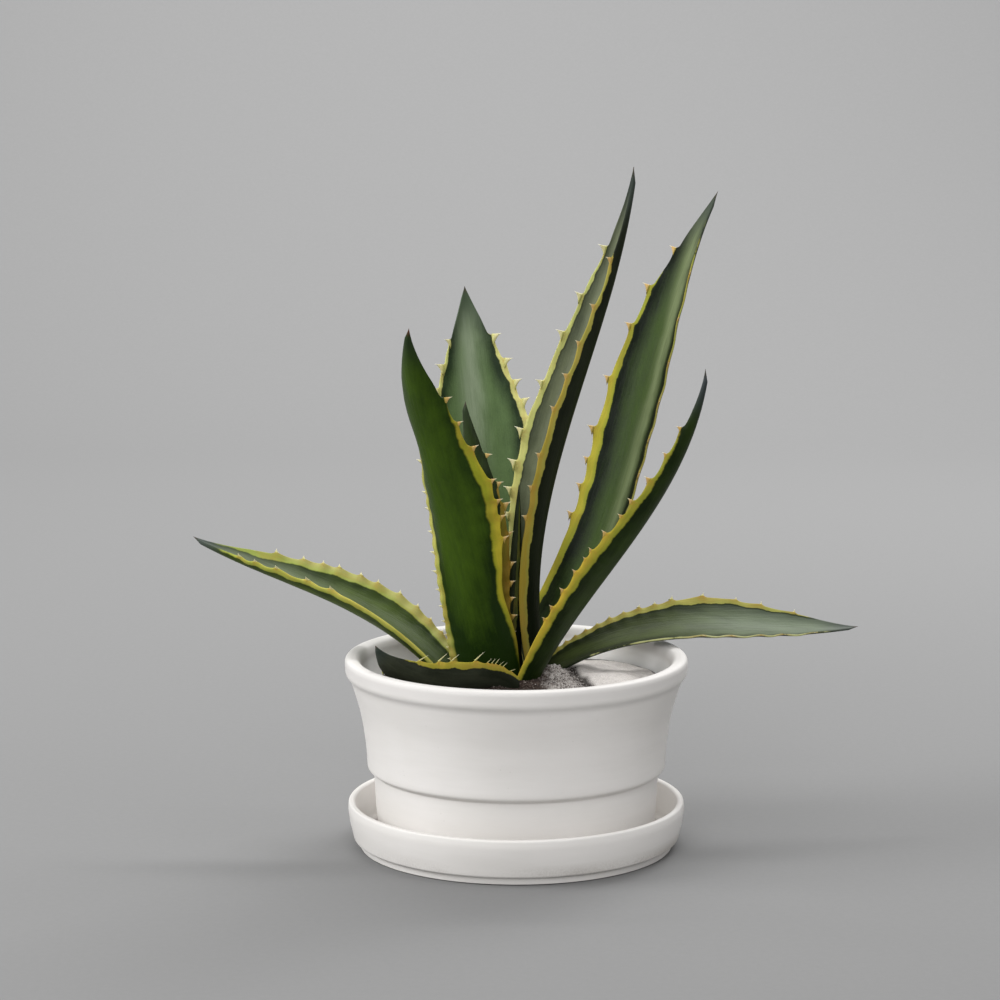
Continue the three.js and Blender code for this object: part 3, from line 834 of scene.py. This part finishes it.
def channel(leaf, t, across):
    """The bare channel: its points, the ways out and off its inner face, and sideways.

    Across is -1 at the low margin and 1 at the high one.
    """
    side, up = (way[:, None] for way in blade_frame(leaf, t))
    fold = np.radians(leaf["fold"]) * np.minimum(1, 0.55 + 0.9 * np.maximum(t, 0))
    angle = (fold[:, None] * across)[..., None]
    bow = (half_width(leaf, t) / fold)[:, None, None]
    point = (path_points(leaf, t)[:, None] + side * (bow * np.sin(angle))
             + up * (bow * (1 - np.cos(angle))))
    out = side * np.cos(angle) + up * np.sin(angle)
    normal = up * np.cos(angle) - side * np.sin(angle)
    return point, out, normal, side


def margin_name(margin):
    """What the tables call a margin."""
    return "low" if margin < 0 else "high"


def of_margin(leaf, margin, title, other):
    """What a leaf's table says of one margin, or the other value where it says nothing."""
    return leaf.get(f"{margin_name(margin)}_{title}", other)


def tooth_places(leaf, margin):
    """Where the teeth stand along one margin, 0 at the foot and 1 at the tip."""
    places = list(of_margin(leaf, margin, "teeth", ()))
    if places:
        gap = places[1] - places[0]
        while places[0] - gap > FIRST_TOOTH - 0.02:
            gap = max(gap * 0.92, 4.5 / leaf["length"])
            places.insert(0, places[0] - gap)
        return np.array(places)
    index = 0 if margin < 0 else 1
    count = leaf["teeth"][index]
    chance = np.random.default_rng(100 * leaf["seed"] + index)
    order = np.arange(count) + chance.uniform(-0.16, 0.16, count)
    share = np.clip(order / (count - 1), 0, 1.02) ** leaf.get("crowding", TOOTH_CROWDING)
    return FIRST_TOOTH + (LAST_TOOTH - FIRST_TOOTH) * share


def strength(leaf, margin, places):
    """How strong each tooth and its bump is: uneven by chance, weak where the margin is calm."""
    chance = np.random.default_rng(500 + 10 * leaf["seed"] + margin)
    until, share = of_margin(leaf, margin, "calm", (0, 1))
    return chance.uniform(0.7, 1.25, len(places)) * np.where(places < until, share, 1)


def margin_form(leaf, t, margin):
    """How far the margin stands out at t, how near a tooth it is, and how it ruffles."""
    places = tooth_places(leaf, margin)
    gap = (t[:, None] - places[None, :]) * leaf["length"]
    room = np.clip(np.gradient(places) * leaf["length"] / 14, 0.45, 1.1)
    shape = np.where(gap < 0, np.exp(-(np.abs(gap) / (BUMP_BACK * room)) ** 1.4),
                     np.exp(-(gap / (BUMP_FRONT * room)) ** 2))
    force = strength(leaf, margin, places)
    swelling = (shape * room * force).sum(1)
    fade = np.clip(t / 0.06, 0, 1) * np.clip((places[-1] + 0.05 - t) / 0.05, 0, 1)
    steady = np.interp(t, places, np.minimum(force, 1))
    push = (BUMP_HEIGHT * swelling - BUMP_VALLEY * steady) * fade
    push = push * of_margin(leaf, margin, "wavy", 1)
    run = t * leaf["length"]
    sway = (np.sin(run / 7.1 + 2.3 * leaf["seed"] + margin)
            + 0.8 * np.sin(run / 12.7 - 1.1 * leaf["seed"]))
    push = push + SWAY * sway * fade * steady
    phase = np.interp(t, places, np.arange(len(places)))
    ruffle = np.cos(2 * np.pi * phase + 0.6) * RUFFLE * fade * steady
    return push, np.clip((shape * np.minimum(force, 1)).max(1), 0, 1) * fade, ruffle


def smooth_knots(leaf, margin, title, t):
    """A soft line through a margin's pairs of place and millimetres, or nought if it has none."""
    knots = np.array(of_margin(leaf, margin, title, ((0, 0), (1, 0))), float)
    near = np.linspace(-0.03, 0.03, 9)
    return np.interp(t[:, None] + near, knots[:, 0], knots[:, 1]).mean(1)


def build_blade(name):
    """A leaf blade: a channel-shaped skin with rounded, wavy margins and a pointed tip."""
    leaf = LEAVES[name]
    length = leaf["length"]
    start = -leaf["sunk"] / length
    count = int(length * (1 - start) / STATION_GAP)
    t = start + (LAST_RING - start) * np.linspace(0, 1, count)
    half = half_width(leaf, t)[:, None]
    round_off = np.minimum(EDGE_ROUNDING, half / 2)
    edge = np.array([0, 0.1, 0.4, 1.0])
    even = np.linspace(-1, 1, FACE_COLUMNS + 1)[1:-1]
    reach = np.concatenate([-half + round_off * edge, (half - round_off) * even,
                            half - round_off * edge[::-1]], 1)
    across = reach / half
    gap = half - np.abs(reach)
    fullness = np.sqrt(1 - np.clip(1 - gap / round_off, 0, 1) ** 2)

    point, out, normal, side = channel(leaf, t, across)
    push, ruffle, swelling, drawn, band = (np.zeros_like(across) for _ in range(5))
    for margin in (-1, 1):
        own = reach < 0 if margin < 0 else reach >= 0
        far = np.where(own, np.abs(across), 0)
        stand, near, wave = (form[:, None] for form in margin_form(leaf, t, margin))
        push += margin * stand * far ** 7
        ruffle += wave * far ** 3 - smooth_knots(leaf, margin, "flare", t)[:, None] * far ** 5
        swelling += near * np.where(own, np.exp(-gap / SWELLING_DEPTH), 0)
        drawn += margin * smooth_knots(leaf, margin, "draw", t)[:, None] * far ** 1.4
        wide = of_margin(leaf, margin, "band", None)
        band += np.where(own, np.interp(t, np.linspace(0, 1, len(wide)), wide)[:, None], 0)
    point = point + out * push[..., None] + normal * ruffle[..., None] - side * drawn[..., None]

    thin = np.clip((1 - t) / 0.03, TIP_THINNESS, 1)
    body = (leaf["thick"] - EDGE_THICKNESS) * (1 - 0.75 * np.maximum(t, 0))
    depth = (EDGE_THICKNESS + body[:, None] * (1 - across ** 2)) * thin[:, None]
    upper = point - normal * (depth / 2 * (1 - fullness))[..., None]
    lower = point - normal * (depth / 2 * (1 + fullness))[..., None]
    rings = np.concatenate([upper, lower[:, -2:0:-1]], 1)

    def both(numbers):
        """The numbers of the inner face, and again for the way back over the outer one."""
        return np.concatenate([numbers, numbers[:, -2:0:-1]], 1)

    level = np.repeat(t[:, None], reach.shape[1], 1)
    under = both(np.zeros_like(reach))
    under[:, reach.shape[1]:] = 1
    values = with_ends({
        "along": both(level), "run": both(level * length), "reach": both(reach),
        "rim": both(band - gap), "under": under, "swelling": both(swelling)})
    _, up = blade_frame(leaf, t[-1:])
    tip = path_points(leaf, np.ones(1))[0] - up[0] * EDGE_THICKNESS / 2 * TIP_THINNESS
    points, faces = closed_skin(rings, rings[0].mean(0), tip, outward=False)
    return make_piece(name + "_blade", points, faces, blade_finish(name, leaf["seed"]), values)


# ---------------------------------------------------------------- the teeth


def tooth_tree():
    """Hooked teeth, one on each point of the carrier, turned and sized by the point's values."""
    tree, take, give = new_group(
        "hooked_teeth", "GeometryNodeTree",
        {"Geometry": ("Geometry",), "Float": ("Length", "Back", "Front", "Thickness", "Hook"),
         "Material": ("Material",)},
        {"Geometry": ("Geometry",)})
    cone = add_node(tree, "GeometryNodeMeshCone", {
        "Vertices": 8, "Side Segments": 5, "Radius Top": 0.0, "Radius Bottom": 1.0, "Depth": 1.0})
    x, y, height = parts_of(tree, add_node(tree, "GeometryNodeInputPosition").outputs[0])
    left = sums(tree, "MAXIMUM", minus(tree, 1.0, height), 0.001)
    marked = add_node(tree, "GeometryNodeStoreNamedAttribute", {
        "Geometry": cone.outputs["Mesh"], "Name": "toward_tip", "Value": height})
    back = times(tree, take["Back"], sums(tree, "POWER", left, 2.4))
    front = times(tree, take["Front"], sums(tree, "POWER", left, 0.9))
    middle = times(tree, minus(tree, front, back), 0.5)
    spread = times(tree, plus(tree, front, back), 0.5)
    onward = scaled(tree, sums(tree, "DIVIDE", x, left), spread, middle)
    onward = scaled(tree, sums(tree, "POWER", height, 1.6), take["Hook"], onward)
    slim = times(tree, take["Thickness"], sums(tree, "POWER", left, 0.8))
    aside = times(tree, sums(tree, "DIVIDE", y, left), slim)
    place = point_at(tree, onward, aside, times(tree, height, take["Length"]))
    shaped = add_node(tree, "GeometryNodeSetPosition", {
        "Geometry": marked.outputs[0], "Position": place})
    turn = add_node(tree, "FunctionNodeAxesToRotation", {
        0: stored(tree, "outward", "FLOAT_VECTOR"), 1: stored(tree, "onward", "FLOAT_VECTOR")},
        primary_axis="Z", secondary_axis="X")
    planted = add_node(tree, "GeometryNodeInstanceOnPoints", {
        "Points": take["Geometry"], "Instance": shaped.outputs[0], "Rotation": turn.outputs[0],
        "Scale": stored(tree, "growth", "FLOAT_VECTOR")})
    whole = add_node(tree, "GeometryNodeRealizeInstances", {"Geometry": planted.outputs[0]})
    smooth = add_node(tree, "GeometryNodeSetShadeSmooth", {"Geometry": whole.outputs[0]})
    painted = add_node(tree, "GeometryNodeSetMaterial", {
        "Geometry": smooth.outputs[0], "Material": take["Material"]})
    feed(tree, give, {0: painted.outputs[0]})
    return tree


def margin_point(leaf, t, margin):
    """Place, outward and face directions of the margin at t."""
    point, out, normal, side = (
        part[:, 0] for part in channel(leaf, t, np.full((len(t), 1), float(margin))))
    push, _, ruffle = margin_form(leaf, t, margin)
    ruffle = ruffle - smooth_knots(leaf, margin, "flare", t)
    point = point - side * (margin * smooth_knots(leaf, margin, "draw", t))[:, None]
    point = point + out * (margin * push)[:, None] + normal * (ruffle - EDGE_THICKNESS / 2)[:, None]
    return point, out * margin, normal


def to_one(ways):
    """Arrows brought to the length of one."""
    return ways / np.linalg.norm(ways, axis=1, keepdims=True)


def teeth_on(name, margin, tree, material, sizes):
    """The teeth of one margin of a leaf."""
    leaf = LEAVES[name]
    places = tooth_places(leaf, margin)
    force = strength(leaf, margin, places)
    room = np.clip(np.gradient(places) * leaf["length"] / 12, 0.55, 1.1)
    places, room, force = places[force > 0.01], room[force > 0.01], force[force > 0.01]
    chance = np.random.default_rng(1000 + 10 * leaf["seed"] + margin)
    point, outward, face = margin_point(leaf, places, margin)
    onward = to_one(margin_point(leaf, places + 0.004, margin)[0]
                    - margin_point(leaf, places - 0.004, margin)[0])
    lean = chance.uniform(-0.14, 0.14, len(places)) + sizes["lean"]
    outward = outward + onward * lean[:, None] - face * of_margin(leaf, margin, "tilt", 0)
    outward = to_one(outward)
    room = room * of_margin(leaf, margin, "size", 1)
    root = point - outward * (sizes["sink"] * room)[:, None]
    growth = np.repeat((room * np.sqrt(force) * MM)[:, None], 3, 1)
    carrier = make_piece(name + "_teeth_carrier", root, [], None)
    for title, arrows in (("outward", outward), ("onward", onward), ("growth", growth)):
        field = carrier.data.attributes.new(title, "FLOAT_VECTOR", "POINT")
        field.data.foreach_set("vector", arrows.ravel())
    feeds = {title: float(sizes[title])
             for title in ("Length", "Back", "Front", "Thickness", "Hook")}
    piece = run_tree(f"{name}_teeth_{margin_name(margin)}", carrier, tree, feeds, material)
    drop(carrier)
    return piece


# ---------------------------------------------------------------- the heart


def build_heart():
    """The rolled middle leaf: a slim cone wound round itself, with its free edge as a seam."""
    radii, levels = np.array(HEART_OUTLINE, float).T
    slender = 110
    heights = np.concatenate([np.linspace(levels[0], slender, 40)[:-1],
                              np.linspace(slender, levels[-1], 190)])
    radius = np.interp(heights, levels, radii)
    for _ in range(12):
        radius[1:-1] = (radius[:-2] + 2 * radius[1:-1] + radius[2:]) / 4
    heights, radius = heights[:, None], radius[:, None]
    turn = np.linspace(0, 2 * np.pi, HEART_STEPS, endpoint=False)
    wind = turn / (2 * np.pi)
    seam = np.radians(SEAM_START) + np.radians(SEAM_TURN) * (heights - SEAM_LOW) / SEAM_REACH
    rounds = 1 - WOUND_IN * wind ** 1.5
    far = radius * (rounds + (1 - rounds) * np.clip(1 - heights / 105, 0, 1))
    share = (heights - HEART_START) / HEART_RUN

    def middle_line(share, height):
        """A point of the middle line, at its share of the way up."""
        return [HEART_FOOT[0] + HEART_LEAN[0] * share, HEART_FOOT[1] + HEART_LEAN[1] * share,
                height]

    level = np.repeat(share, HEART_STEPS, 1)
    x, y, z = middle_line(level, np.repeat(heights, HEART_STEPS, 1))
    rings = np.stack([far * np.cos(turn + seam) + x, far * np.sin(turn + seam) + y, z], -1)
    points, faces = closed_skin(
        rings, middle_line(share[0, 0], levels[0]), middle_line(1, HEART_TIP))
    values = with_ends({
        "along": level, "run": level * HEART_RUN, "reach": (wind - 0.5) * 6 * radius,
        "rim": (2.2 - wind * 26) * (radius / 5), "under": np.ones_like(level),
        "swelling": np.zeros_like(level)})
    return make_piece("heart_rolled_leaf", points, faces, blade_finish("heart", 10), values)


# ---------------------------------------------------------------- pot and saucer


def rounded_outline(corners, steps=6):
    """An outline whose corners are rounded, each by its own radius in millimetres."""
    outline = []
    count = len(corners)
    for index, (radius, height, soft) in enumerate(corners):
        here = np.array([radius, height], float)
        back = np.array(corners[index - 1][:2], float) - here
        ahead = np.array(corners[(index + 1) % count][:2], float) - here
        far_back, far_ahead = np.linalg.norm(back), np.linalg.norm(ahead)
        cut = min(soft, far_back * 0.49, far_ahead * 0.49)
        first, last = here + back / far_back * cut, here + ahead / far_ahead * cut
        for share in np.linspace(0, 1, steps):
            outline.append(first * (1 - share) ** 2 + here * 2 * share * (1 - share)
                           + last * share ** 2)
    return np.array(outline)


def subdivide_outline(outline, longest, closed):
    """Adds points so that no stretch of the outline is longer than a given length."""
    dense = []
    ends = len(outline) if closed else len(outline) - 1
    for index in range(ends):
        here, after = outline[index], outline[(index + 1) % len(outline)]
        pieces = max(1, int(np.ceil(np.linalg.norm(after - here) / longest)))
        for step in range(pieces):
            dense.append(here + (after - here) * step / pieces)
    if not closed:
        dense.append(outline[-1])
    return np.array(dense)


def hand_thrown(angle, height, depth, seed):
    """Slight unevenness of a hand-finished wall, always inward."""
    wave = (np.sin(2 * angle + 0.7 * seed) * np.sin(height / 23 + seed)
            + 0.6 * np.sin(5 * angle - seed) * np.sin(height / 11)
            + 0.4 * np.sin(9 * angle + height / 7))
    return depth * (wave / 2 - 1) / 2


def turned_piece(name, outline, closed, unevenness, seed, material):
    """A turned piece from its outline of radius and height.

    A closed outline goes all round the wall. An open one starts and ends on the axis.
    """
    angle = np.linspace(0, 2 * np.pi, TURNING_STEPS, endpoint=False)
    rings = np.array([
        circle(angle, radius + hand_thrown(angle, height, unevenness, seed), height)
        for radius, height in (outline if closed else outline[1:-1])])
    if closed:
        points = rings.reshape(-1, 3)
        faces = ring_faces(len(rings), TURNING_STEPS, closed=True)
    else:
        points, faces = closed_skin(rings, [0, 0, outline[0][1]], [0, 0, outline[-1][1]])
    return make_piece(name, points, faces, material)


def build_pot():
    """The pot, glazed inside and out, with painted light inside, painted shade round its rolled
    lip, and its drain hole.
    """
    # The whiter inside colour is painted light and the duller lip colour is painted shade.
    glaze = clay_finish("pot_glaze", (234, 231, 228), (228, 225, 221), 46, 5, 0.12,
                        inside=(252, 251, 249), lip=(226, 223, 220))
    outline = subdivide_outline(rounded_outline(POT_CORNERS), 2.4, True)
    return turned_piece("pot_glazed", outline, True, 0.35, 1, glaze)


def build_saucer():
    """The saucer, with its upright wall."""
    glaze = clay_finish("saucer_glaze", (233, 230, 227), (227, 224, 220), 7, 6, 0.5)
    outline = np.vstack([[0, 0], rounded_outline(SAUCER_CORNERS), [0, SAUCER_FLOOR]])
    outline = subdivide_outline(outline, 2.6, False)
    return turned_piece("saucer_glazed", outline, False, 0.3, 4, glaze)


# ---------------------------------------------------------------- soil


def soil_height(x, y):
    """The earth's level, mounded toward the plant."""
    away = np.hypot(x - 8, y - 14) / 40
    return (SOIL_LEVEL + SOIL_MOUND * np.exp(-away ** 2) + 0.7 * np.sin(x / 9 + 1) * np.cos(y / 11)
            + 0.5 * np.sin((x - y) / 6))


def lumps(x, y, size, seed):
    """Smooth seeded unevenness from a few waves in mixed directions."""
    chance = np.random.default_rng(seed)
    total = np.zeros_like(x)
    for _ in range(14):
        way = chance.uniform(0, 2 * np.pi)
        wave = size * chance.uniform(0.6, 1.6)
        total += np.sin((x * np.cos(way) + y * np.sin(way)) * 2 * np.pi / wave
                        + chance.uniform(0, 6.3))
    return total / 14 ** 0.5


def soft_step(share):
    """A share between 0 and 1, eased at both ends."""
    share = np.clip(share, 0, 1)
    return share * share * (3 - 2 * share)


def build_soil():
    """The soil: an uneven top with a crease right of the plant, and a plain skirt in the pot."""
    angle = np.linspace(0, 2 * np.pi, SOIL_STEPS, endpoint=False)
    radii = np.concatenate([np.linspace(0.8, 86, 106), [86.8, 87.2, SOIL_RADIUS]])[:, None]
    x, y = radii * np.cos(angle), radii * np.sin(angle)
    settle = soft_step((radii - SOIL_SETTLES) / (SOIL_RADIUS - SOIL_SETTLES))
    # The sand lies higher up the wall on the right.
    at_wall = SOIL_AT_WALL + SAND_AT_WALL * soft_step((x - 20) / 45)
    top = soil_height(x, y) * (1 - settle) + at_wall * settle
    # A dune lies to the right, with a crease between it and the earth round the plant.
    ridge_gap = (x - CREASE_POINT[0]) * CREASE_ACROSS[0] + (y - CREASE_POINT[1]) * CREASE_ACROSS[1]
    ridge_gap = ridge_gap + 1.2 * np.sin(y / 15) + 0.35 * lumps(x, y, 12, 34)
    dune = np.exp(-((x - 60) / 24) ** 2 - ((y - 6) / 42) ** 2)
    crease = (np.exp(-np.where(ridge_gap < 0, ridge_gap / 6.2, ridge_gap / 2.1) ** 2)
              * np.clip((58 - y) / 18, 0, 1) * np.clip((y + 45) / 22, 0, 1))
    keep = np.clip((SOIL_RADIUS - radii) / 2.0, 0, 1)
    sandy = np.clip((ridge_gap + 3) / 7, 0, 1)
    rough = lumps(x, y, 5.5, 31) * 0.35 + lumps(x, y, 2.6, 32) * 0.22
    top = top + keep * (DUNE_HEIGHT * dune - CREASE_DEPTH * crease + rough * (1 - 0.75 * sandy)
                        + 0.25 * lumps(x, y, 14, 33))
    # Where the painted shade goes: the crease beside the dune and the earth against the wall; the
    # skirt below takes it in full.
    painted_shade = np.clip(crease * 1.15 + np.clip((radii - 84.0) / 1.6, 0, 1), 0, 1)
    crumbly = (1 - sandy) * keep * (1 - 0.6 * settle)

    skirt = np.array([circle(angle, radius, height) for radius, height in SOIL_SKIRT])
    bare = np.zeros(skirt.shape[:2])
    values = with_ends({"sandy": np.vstack([sandy, bare]), "painted_shade": np.vstack([painted_shade, bare + 1]),
                        "crumbly": np.vstack([crumbly, bare])})
    # The middle point lies inside the plant's stem, where there are no crumbs.
    values["crumbly"][-2] = 0
    points, faces = closed_skin(np.concatenate([np.stack([x, y, top], -1), skirt]),
                                [0, 0, top[0].mean()], [0, 0, SOIL_BASE], outward=False)
    return make_piece("soil_surface", points, faces, earth_finish("potting_earth"), values)


def crumb_tree():
    """Crumbs scattered on the carrier where it is crumbly, each turned and sized by chance."""
    tree, take, give = new_group(
        "soil_crumbs", "GeometryNodeTree",
        {"Geometry": ("Geometry",), "Float": ("Density", "Smallest", "Largest"),
         "Int": ("Seed",), "Material": ("Material",)},
        {"Geometry": ("Geometry",)})
    share = stored(tree, "crumbly", "FLOAT")
    amount = times(tree, sums(tree, "POWER", share, 2.0), take["Density"])
    scattered = add_node(tree, "GeometryNodeDistributePointsOnFaces", {
        "Mesh": take["Geometry"], "Density": amount, "Seed": take["Seed"]})
    crumb = add_node(tree, "GeometryNodeMeshIcoSphere", {"Radius": 1.0, "Subdivisions": 1})
    place = add_node(tree, "GeometryNodeInputPosition").outputs[0]
    bulge = scaled(tree, cloud(tree, place, 1.3, 2.0), 1.1, -0.5)
    push = add_node(tree, "ShaderNodeVectorMath", {0: place, "Scale": bulge}, operation="SCALE")
    knobbly = add_node(tree, "GeometryNodeSetPosition", {
        "Geometry": crumb.outputs[0], "Offset": push.outputs[0]})
    turn = add_node(tree, "FunctionNodeRandomValue", {
        "Min": (0, 0, 0), "Max": (6.28, 6.28, 6.28), "Seed": 5}, data_type="FLOAT_VECTOR")
    low, high = (point_at(tree, take[title], take[title], take[title])
                 for title in ("Smallest", "Largest"))
    size = add_node(tree, "FunctionNodeRandomValue", {0: low, 1: high, "Seed": 6},
                    data_type="FLOAT_VECTOR")
    planted = add_node(tree, "GeometryNodeInstanceOnPoints", {
        "Points": scattered.outputs["Points"], "Instance": knobbly.outputs[0],
        "Rotation": turn.outputs[0], "Scale": size.outputs[0]})
    tone = add_node(tree, "FunctionNodeRandomValue", data_type="FLOAT").outputs[1]
    marked = add_node(tree, "GeometryNodeStoreNamedAttribute", {
        "Geometry": planted.outputs[0], "Name": "tone", "Value": tone}, domain="INSTANCE")
    whole = add_node(tree, "GeometryNodeRealizeInstances", {"Geometry": marked.outputs[0]})
    painted = add_node(tree, "GeometryNodeSetMaterial", {
        "Geometry": whole.outputs[0], "Material": take["Material"]})
    feed(tree, give, {0: painted.outputs[0]})
    return tree


# ---------------------------------------------------------------- putting the plant together

for name in LEAVES:
    set_on_plant(build_blade(name), name)
set_on_plant(build_heart(), "heart")

# Two forms of teeth, in millimetres: their length, how far the root reaches back and front along
# the margin, their thickness, how far the point hooks, how deep the root is sunk, and how they
# lean along the margin.
TEETH = tooth_tree()
HOOKED = dict(Length=4.3, Back=4.2, Front=1.0, Thickness=0.65, Hook=0.5, sink=0.7, lean=0.0)
NEEDLES = dict(Length=8.0, Back=0.9, Front=0.5, Thickness=0.42, Hook=0.0, sink=0.5, lean=-1.35)
amber_teeth = tooth_finish("amber_teeth", (174, 152, 64), (204, 166, 98), (230, 220, 186))
pale_teeth = tooth_finish("pale_teeth", (190, 188, 108), (208, 200, 146), (226, 222, 194))
AMBER = {
    ("leaf_front_left", 1), ("leaf_inner_left", -1), ("leaf_inner_left", 1),
    ("leaf_front_right", -1), ("leaf_front_right", 1), ("leaf_tall_right", -1),
    ("leaf_tall_right", 1), ("leaf_tall_centre", -1)}
for name in LEAVES:
    form = NEEDLES if name == "leaf_short_front" else HOOKED
    for margin in (-1, 1):
        horn = amber_teeth if (name, margin) in AMBER else pale_teeth
        set_on_plant(teeth_on(name, margin, TEETH, horn, form))

set_on_plant(build_pot(), "pot")
set_on_plant(build_saucer(), "saucer")
soil = set_on_plant(build_soil(), "soil")
# Crumbs to a square metre where the earth is all crumbly, and their radius in metres.
crumb_sizes = {"Density": 420000.0, "Smallest": 0.2 * MM, "Largest": 0.6 * MM, "Seed": 3}
crumbs = run_tree("soil_crumbs", soil, crumb_tree(), crumb_sizes, crumb_finish("loose_crumbs"))
set_on_plant(crumbs)

# ---------------------------------------------------------------- studio, in metres

# The paper reaches as far to either side as to the front, then bends up, and has a height.
PAPER_REACH = 9.0
PAPER_FLAT = 1.6
PAPER_CURVE = 1.4
PAPER_TOP = 4.5

# Each softbox: its place, the point it faces, its width and height, and its power.
PLANT = (0, 0, 0.12)
SOFTBOXES = {
    "softbox_left": ((-1.8, -0.3, 1.0), PLANT, 0.9, 0.9, 23),
    "softbox_front": ((-0.5, -2.6, 1.6), PLANT, 1.6, 1.6, 36),
    "softbox_behind": ((0.9, 1.2, 1.6), PLANT, 0.9, 0.9, 18),
    "softbox_top": ((0.0, 0.1, 2.1), PLANT, 1.2, 1.2, 8),
    "softbox_right": ((1.8, -0.9, 1.3), PLANT, 1.0, 1.0, 3),
    "softbox_paper": ((0.0, 1.5, 2.6), (0, 3.0, 0.9), 2.4, 0.8, 88)}
AIR_LIGHT = 0.48

# The camera: its lens in millimetres and its place, and how far it dips and turns in degrees.
CAMERA_LENS = 113.59
CAMERA_PLACE = (0.0, -1.8, 0.48794)
CAMERA_DIP = 8.97
CAMERA_TURN = 0.30


def build_stage():
    """One sheet of pale paper: flat under the pot, then swept up behind it."""
    sweep = [(-PAPER_REACH, 0.0), (PAPER_FLAT, 0.0)]
    for step in range(1, 25):
        bend = math.radians(90 * step / 24)
        sweep.append((PAPER_FLAT + PAPER_CURVE * math.sin(bend),
                      PAPER_CURVE * (1 - math.cos(bend))))
    sweep.append((PAPER_FLAT + PAPER_CURVE, PAPER_TOP))
    points = [(x, y, z) for y, z in sweep for x in (-PAPER_REACH, PAPER_REACH)]
    faces = [[2 * row, 2 * row + 1, 2 * row + 3, 2 * row + 2] for row in range(len(sweep) - 1)]
    paper = make_piece("studio_paper", np.array(points) / MM, faces, paper_finish())


def aim(thing, target):
    """Turns a lamp toward a point."""
    way = np.array(target, float) - np.array(thing.location, float)
    flat = math.hypot(way[0], way[1])
    turn = math.atan2(way[1], way[0]) - math.pi / 2
    thing.rotation_euler = (math.atan2(flat, -way[2]), 0.0, turn)


def add_softbox(name, place, target, width, height, power):
    """A soft light from a rectangle that faces a point."""
    data = bpy.data.lights.new(name, "AREA")
    data.shape = "RECTANGLE"
    data.size, data.size_y = width, height
    data.energy = power
    lamp = bpy.data.objects.new(name, data)
    bpy.context.collection.objects.link(lamp)
    lamp.location = place
    aim(lamp, target)


build_stage()
for name, softbox in SOFTBOXES.items():
    add_softbox(name, *softbox)

world = bpy.data.worlds.new("studio_air")
world.use_nodes = True
feed(world.node_tree, world.node_tree.nodes["Background"],
     {"Color": (1.0, 1.0, 1.0, 1.0), "Strength": AIR_LIGHT})
bpy.context.scene.world = world
bpy.context.scene.view_settings.view_transform = "Standard"

lens = bpy.data.cameras.new("photo_camera")
lens.lens = CAMERA_LENS
lens.sensor_width = 36
camera = bpy.data.objects.new("photo_camera", lens)
bpy.context.collection.objects.link(camera)
camera.location = CAMERA_PLACE
camera.rotation_euler = (math.radians(90 - CAMERA_DIP), 0.0, math.radians(CAMERA_TURN))
bpy.context.scene.camera = camera
